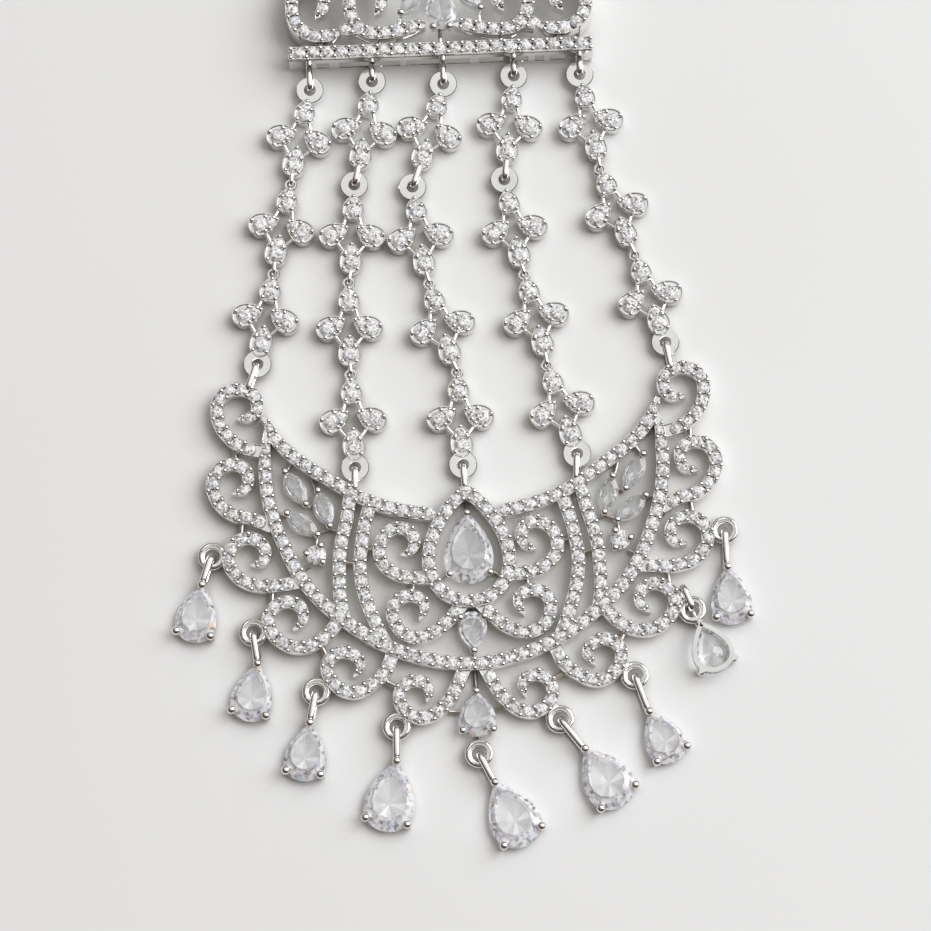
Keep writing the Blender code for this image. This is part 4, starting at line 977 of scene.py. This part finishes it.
# The head plaque: a deep bar with a gallery of windows on its front, and above it an arch of tapering pavé
# bands round a pear and two marquises. Its hidden top is closed with a plain arch, spine and pin ring.
# Where the middle of the plaque's bar lies, and its turn
PLAQUE = (-3.55, 64.4, 2.2)
BAR_TOP, ARCH_TOP, PLAQUE_BAND_TOP, HOOK_TOP = 4.4, 4.3, 4.2, 4.1
BAR_ROW, BAR_PITCH = 18.0, 1.8
BAR_HALF, BAR_BACK, BAR_FRONT = 19.35, 0.95, -0.95
GALLERY_WALL = 0.5
WINDOW_DEPTH = 0.42
WINDOW_LOW, WINDOW_HIGH = 0.9, 3.2
WINDOWS = ((-15.9, -14.3), (-13.0, -8.5), (-7.9, -5.2), (-4.4, -0.1), (0.6, 3.7), (4.9, 8.0), (9.5, 11.2),
           (12.0, 13.2), (13.9, 15.9))
PLAQUE_ARCH = ((17.4, 2.95), (18.4, 4.0), (18.8, 6.0), (18.4, 9.0), (16.8, 12.0),
               (13.8, 14.2), (9.9, 15.6), (5.2, 16.8), (0.6, 17.6))
PLAQUE_BANDS = (((12.1, 3.0), (10.6, 3.2), (9.0, 2.5), (6.8, 2.4), (4.8, 2.75), (3.2, 3.2), (1.8, 3.3)),
                ((17.4, 2.95), (15.9, 2.3), (14.2, 2.3), (12.7, 2.8)),
                ((10.4, 3.2), (11.3, 5.0), (11.4, 7.0), (10.8, 9.6), (9.7, 12.2), (8.9, 15.4)))
PLAQUE_HOOKS = (((18.4, 8.8), (17.4, 10.4), (15.9, 10.5), (14.8, 9.2), (14.6, 7.2), (15.0, 5.7), (15.8, 4.7)),
                ((10.8, 9.4), (10.0, 10.9), (8.6, 11.1), (7.5, 9.8), (7.2, 7.7), (7.5, 6.0), (8.2, 4.9)))
PLAQUE_STONES = (("plaque_pear", 0.2, 5.7, 0, 6.0, 4.0, 1),
                 ("plaque_left_marquise", -3.3, 6.9, -40, 4.9, 2.4, 2),
                 ("plaque_right_marquise", 3.7, 7.2, 40, 4.9, 2.4, 2))
PLAQUE_PRONGS = {1: (0.0, 0.43, 0.57), 2: (0.0, 0.5)}
PLAQUE_SEAT, PLAQUE_PRONG_HEIGHTS, PLAQUE_GIRDLE = (2.7, 3.7), (2.8, 4.2), 3.85
PLAQUE_WIRES = (((0.0, 0.0), (0.0, 3.6), 2.6), ((5.1, 5.1), (5.3, 3.2), 1.9), ((1.2, 9.0), (0.0, 10.6), 1.9),
                ((14.6, 0.4), (14.6, 2.0), 1.9), ((7.8, 0.4), (7.8, 2.0), 1.9))
PLAQUE_WIRE = 0.28
SPINE = ((0.0, 8.4), (0.0, 17.4))
# The pin ring's middle and height, its radius and its wire's radius
PIN_RING, PIN_RING_SIDES = (0.0, 19.6, 3.2, 1.6, 0.45), 32
BAR_LOOP_FOOT = -0.55


def block(shape, x0, x1, y0, y1, z0, z1, soft=0.06):
    """A rectangular bar of metal with its edges rounded off a little."""
    corners = [(x, y) for x, y in ((x0, y0), (x1, y0), (x1, y1), (x0, y1))]
    skin(shape, [[(*p, z) for p in inset(corners, depth)]
                 for depth, z in ((soft, z0), (0.0, z0 + soft), (0.0, z1 - soft), (soft, z1))])


plaque_place = place(*PLAQUE)
arch_rows = [(row, ARCH_TOP, False, FULL_WIDTH) for row in both_sides([PLAQUE_ARCH])]
inner_rows = [(row, PLAQUE_BAND_TOP, False, HORN) for row in both_sides(PLAQUE_BANDS[:1])]
tail_rows = [(row, PLAQUE_BAND_TOP, False, HORN) for row in both_sides(PLAQUE_BANDS[1:2])]
inner_rows += [(row, PLAQUE_BAND_TOP, False, FULL_WIDTH) for row in both_sides(PLAQUE_BANDS[2:])]
inner_rows.append((SPINE, PLAQUE_BAND_TOP, False, FULL_WIDTH))
hook_rows = [(row, HOOK_TOP, False, SCROLL_WIDTH) for row in both_sides(PLAQUE_HOOKS)]
bar_row, bar_strip = ([([(-x, 0.0), (x, 0.0)], BAR_TOP, False, FULL_WIDTH)]
                      for x in (BAR_ROW, BAR_HALF - 0.1))
arch_cut = band_section(ARCH_TOP - 0.05)
parts = [pave_work("arch", arch_rows, plaque_place, -0.1, -0.1, 11, None, arch_cut),
         pave_work("inner", inner_rows, plaque_place, -0.1, 0.4, 13),
         pave_work("tails", tail_rows, plaque_place, 1.0, -0.1, 15),
         pave_work("hooks", hook_rows, plaque_place, 0.9, 0.8, 17),
         pave_work("bar", bar_row, plaque_place, -0.1, -0.1, 19, bar_strip, None, BAR_PITCH)]
shape = bmesh.new()
for y0, y1 in ((BAR_FRONT, BAR_FRONT + GALLERY_WALL), (BAR_BACK - GALLERY_WALL, BAR_BACK)):
    block(shape, -BAR_HALF, BAR_HALF, y0, y1, 0.0, WINDOW_LOW)
    block(shape, -BAR_HALF, BAR_HALF, y0, y1, WINDOW_HIGH, BAR_TOP - 0.35)
    edges = [-BAR_HALF, *(e for window in WINDOWS for e in window), BAR_HALF]
    for x0, x1 in zip(edges[::2], edges[1::2]):
        block(shape, x0, x1, y0 + 0.03, y1 - 0.03, WINDOW_LOW - 0.1, WINDOW_HIGH + 0.1)
block(shape, -BAR_HALF + 0.1, BAR_HALF - 0.1, BAR_FRONT + WINDOW_DEPTH, BAR_BACK - WINDOW_DEPTH,
      WINDOW_LOW - 0.2, WINDOW_HIGH + 0.2)
for x in (-BAR_HALF + 0.25, BAR_HALF - 0.25):
    for y in (-PAVE_BEAD_OFF, PAVE_BEAD_OFF):
        bmesh.ops.create_icosphere(shape, subdivisions=2, radius=PAVE_BEAD,
                                   matrix=Matrix.Translation((x, y, BAR_TOP)))
for start, end, height in PLAQUE_WIRES:
    for a, b in both_sides([(start, end)]):
        tube(shape, [(*a, height), (*b, height)], PLAQUE_WIRE, (0, 0, 1))
for stone in PLAQUE_STONES:
    set_stone(shape, plaque_place, stone, PLAQUE_PRONGS[stone[-1]], PLAQUE_SEAT, PLAQUE_PRONG_HEIGHTS,
              PLAQUE_GIRDLE)
x, y, z, reach, wire = PIN_RING
turns = [2 * math.pi * i / PIN_RING_SIDES for i in range(PIN_RING_SIDES)]
tube(shape, [(x + reach * math.cos(a), y + reach * math.sin(a), z) for a in turns], wire, (0, 0, 1), True)
plaque_metal = made_mesh(shape, plaque_place, rhodium)
shape = bmesh.new()
back_turn = math.radians(-PLAQUE[2])
for rows in LINKS.values():
    (lx, ly, turn), kind = rows[0]
    hole = moved((0.0, RING_UP[kind]), lx, ly, turn)
    dx, dy = hole[0] - PLAQUE[0], hole[1] - PLAQUE[1]
    along_bar = dx * math.cos(back_turn) - dy * math.sin(back_turn)
    upright_loop(shape, hole, moved((along_bar, BAR_LOOP_FOOT), *PLAQUE))
plaque_loops = made_mesh(shape, place(0.0, 0.0), rhodium)
finished("plaque_metal", joined(plaque_metal, plaque_loops, *(part[0] for part in parts)), "rhodium_white",
         "upper_plaque")
finished("plaque_pave", joined(*(part[1] for part in parts)), "clear_stone", sharp=0.0)

# The nine drops: a large pear cut in an open basket, a thin pear-shaped rail with three round prongs, hung by
# an upright loop from its ring. One of them has fallen face down, and shows the rail and the stone's back.
DROPS = (
    ((-32.88, -4.6, -8.9), 7.2, 5.1, True), ((-25.88, -14.4, -9.4), 7.2, 5.1, True),
    ((-19.4, -21.7, -7.1), 7.2, 5.1, True), ((-8.75, -26.4, -9.6), 8.7, 6.2, True),
    ((3.2, -29.0, 27.4), 8.6, 6.2, True), ((14.2, -24.9, 34.3), 8.3, 6.1, True),
    ((22.1, -20.3, 27.4), 6.9, 5.0, True), ((28.45, -9.2, 22.5), 6.6, 5.2, False),
    ((32.0, -2.3, 5.6), 7.2, 5.1, True),
)
DROP_POWER = 0.85
DROP_FACETS = 16
DROP_GIRDLE = 1.7
RAIL_LOW, RAIL_HIGH, RAIL_WALL = 0.35, 1.0, 0.55
DROP_BEAD, DROP_PRONG, DROP_PRONG_TOP = 0.56, 0.3, 2.12
DROP_LOOP_WIRE = 0.34
DROP_HIGH = 2.7
# The drop that lies face down: its loop's length, and the stem and post by which the loop holds its basket
FLIPPED_LOOP = 3.1
STEM_FROM, STEM_HEIGHT, STEM_WIRE = 1.2, 0.3, 0.28
POST_HEIGHTS = (0.1, 1.9)
# The baskets' pointed lugs: the height on the stone's axis that they point away from, and their size
LUG_MIDDLE = -1.0
LUG_REACH, LUG_HALF = 0.62, 0.75


def lug(shape, x, y, heading):
    """A pointed lug at the foot of a basket, which carries a prong."""
    along = Vector((math.cos(heading), math.sin(heading)))
    across = Vector((-along.y, along.x))
    here = Vector((x, y))
    corners = [here + along * LUG_REACH, here - along * RAIL_WALL + across * LUG_HALF,
               here - along * RAIL_WALL - across * LUG_HALF]
    skin(shape, [[(*p, z) for p in corners] for z in (RAIL_LOW + 0.02, RAIL_HIGH - 0.04)])


for number, ((x, y, turn), length, width, face_up) in enumerate(DROPS, 1):
    shape = bmesh.new()
    outline = gem_outline(40, length - 0.1, width - 0.1, 1, DROP_POWER)
    outline = [(p, q - length / 2) for p, q in outline]
    seat(shape, outline, RAIL_LOW, RAIL_HIGH, RAIL_WALL)
    for share in PRONG_ANGLES[1]:
        px, py = gem_point(2 * math.pi * share, length, width, 1, DROP_POWER)
        prong(shape, px, py - length / 2, RAIL_LOW + 0.1, DROP_PRONG_TOP, DROP_PRONG, DROP_BEAD)
        if share:
            lug(shape, px, py - length / 2, math.atan2(py - LUG_MIDDLE, px))
    cut = brilliant(DROP_FACETS, length, width, 1, DROP_POWER, 0.8, 1.3, *STONE_TABLE[1])
    cut.transform(Matrix.Translation((0.0, -length / 2, DROP_GIRDLE)) @ Matrix.Scale(1 / MM, 4))
    flip = Matrix() if face_up else Matrix.Translation((0, 0, DROP_HIGH)) @ Matrix.Rotation(math.pi, 4, "Y")
    cut.transform(place(x, y, turn) @ flip)
    cut.materials.append(clear_stone)
    metal = made_mesh(shape, place(x, y, turn) @ flip, rhodium)
    shape = bmesh.new()
    hole = crescent_point(*DROP_RINGS[number - 1])
    if face_up:
        upright_loop(shape, hole, moved((0.0, 0.1), x, y, turn), DROP_LOOP_WIRE)
    else:
        a = math.radians(turn)
        far = (hole[0] - math.sin(a) * FLIPPED_LOOP, hole[1] + math.cos(a) * FLIPPED_LOOP)
        upright_loop(shape, hole, far, DROP_LOOP_WIRE)
        near = (hole[0] - math.sin(a) * STEM_FROM, hole[1] + math.cos(a) * STEM_FROM)
        tip = moved((0.0, 0.2), x, y, turn)
        tube(shape, [(*near, STEM_HEIGHT), (*tip, STEM_HEIGHT)], STEM_WIRE, (0, 0, 1))
        tube(shape, [(x, y, z) for z in POST_HEIGHTS], DROP_PRONG, (1, 0, 0))
    loop = made_mesh(shape, place(0.0, 0.0), rhodium)
    finished(f"drop_{number}_basket", joined(metal, loop), "rhodium_white", f"drop_{number}_setting")
    stone = finished(f"drop_{number}_cut", cut, "clear_stone", f"drop_{number}_stone", sharp=0.0)
    stone.visible_shadow = False

for pattern in (band_cut, arch_cut, small_brilliant, pave_bead):
    bpy.data.objects.remove(pattern)
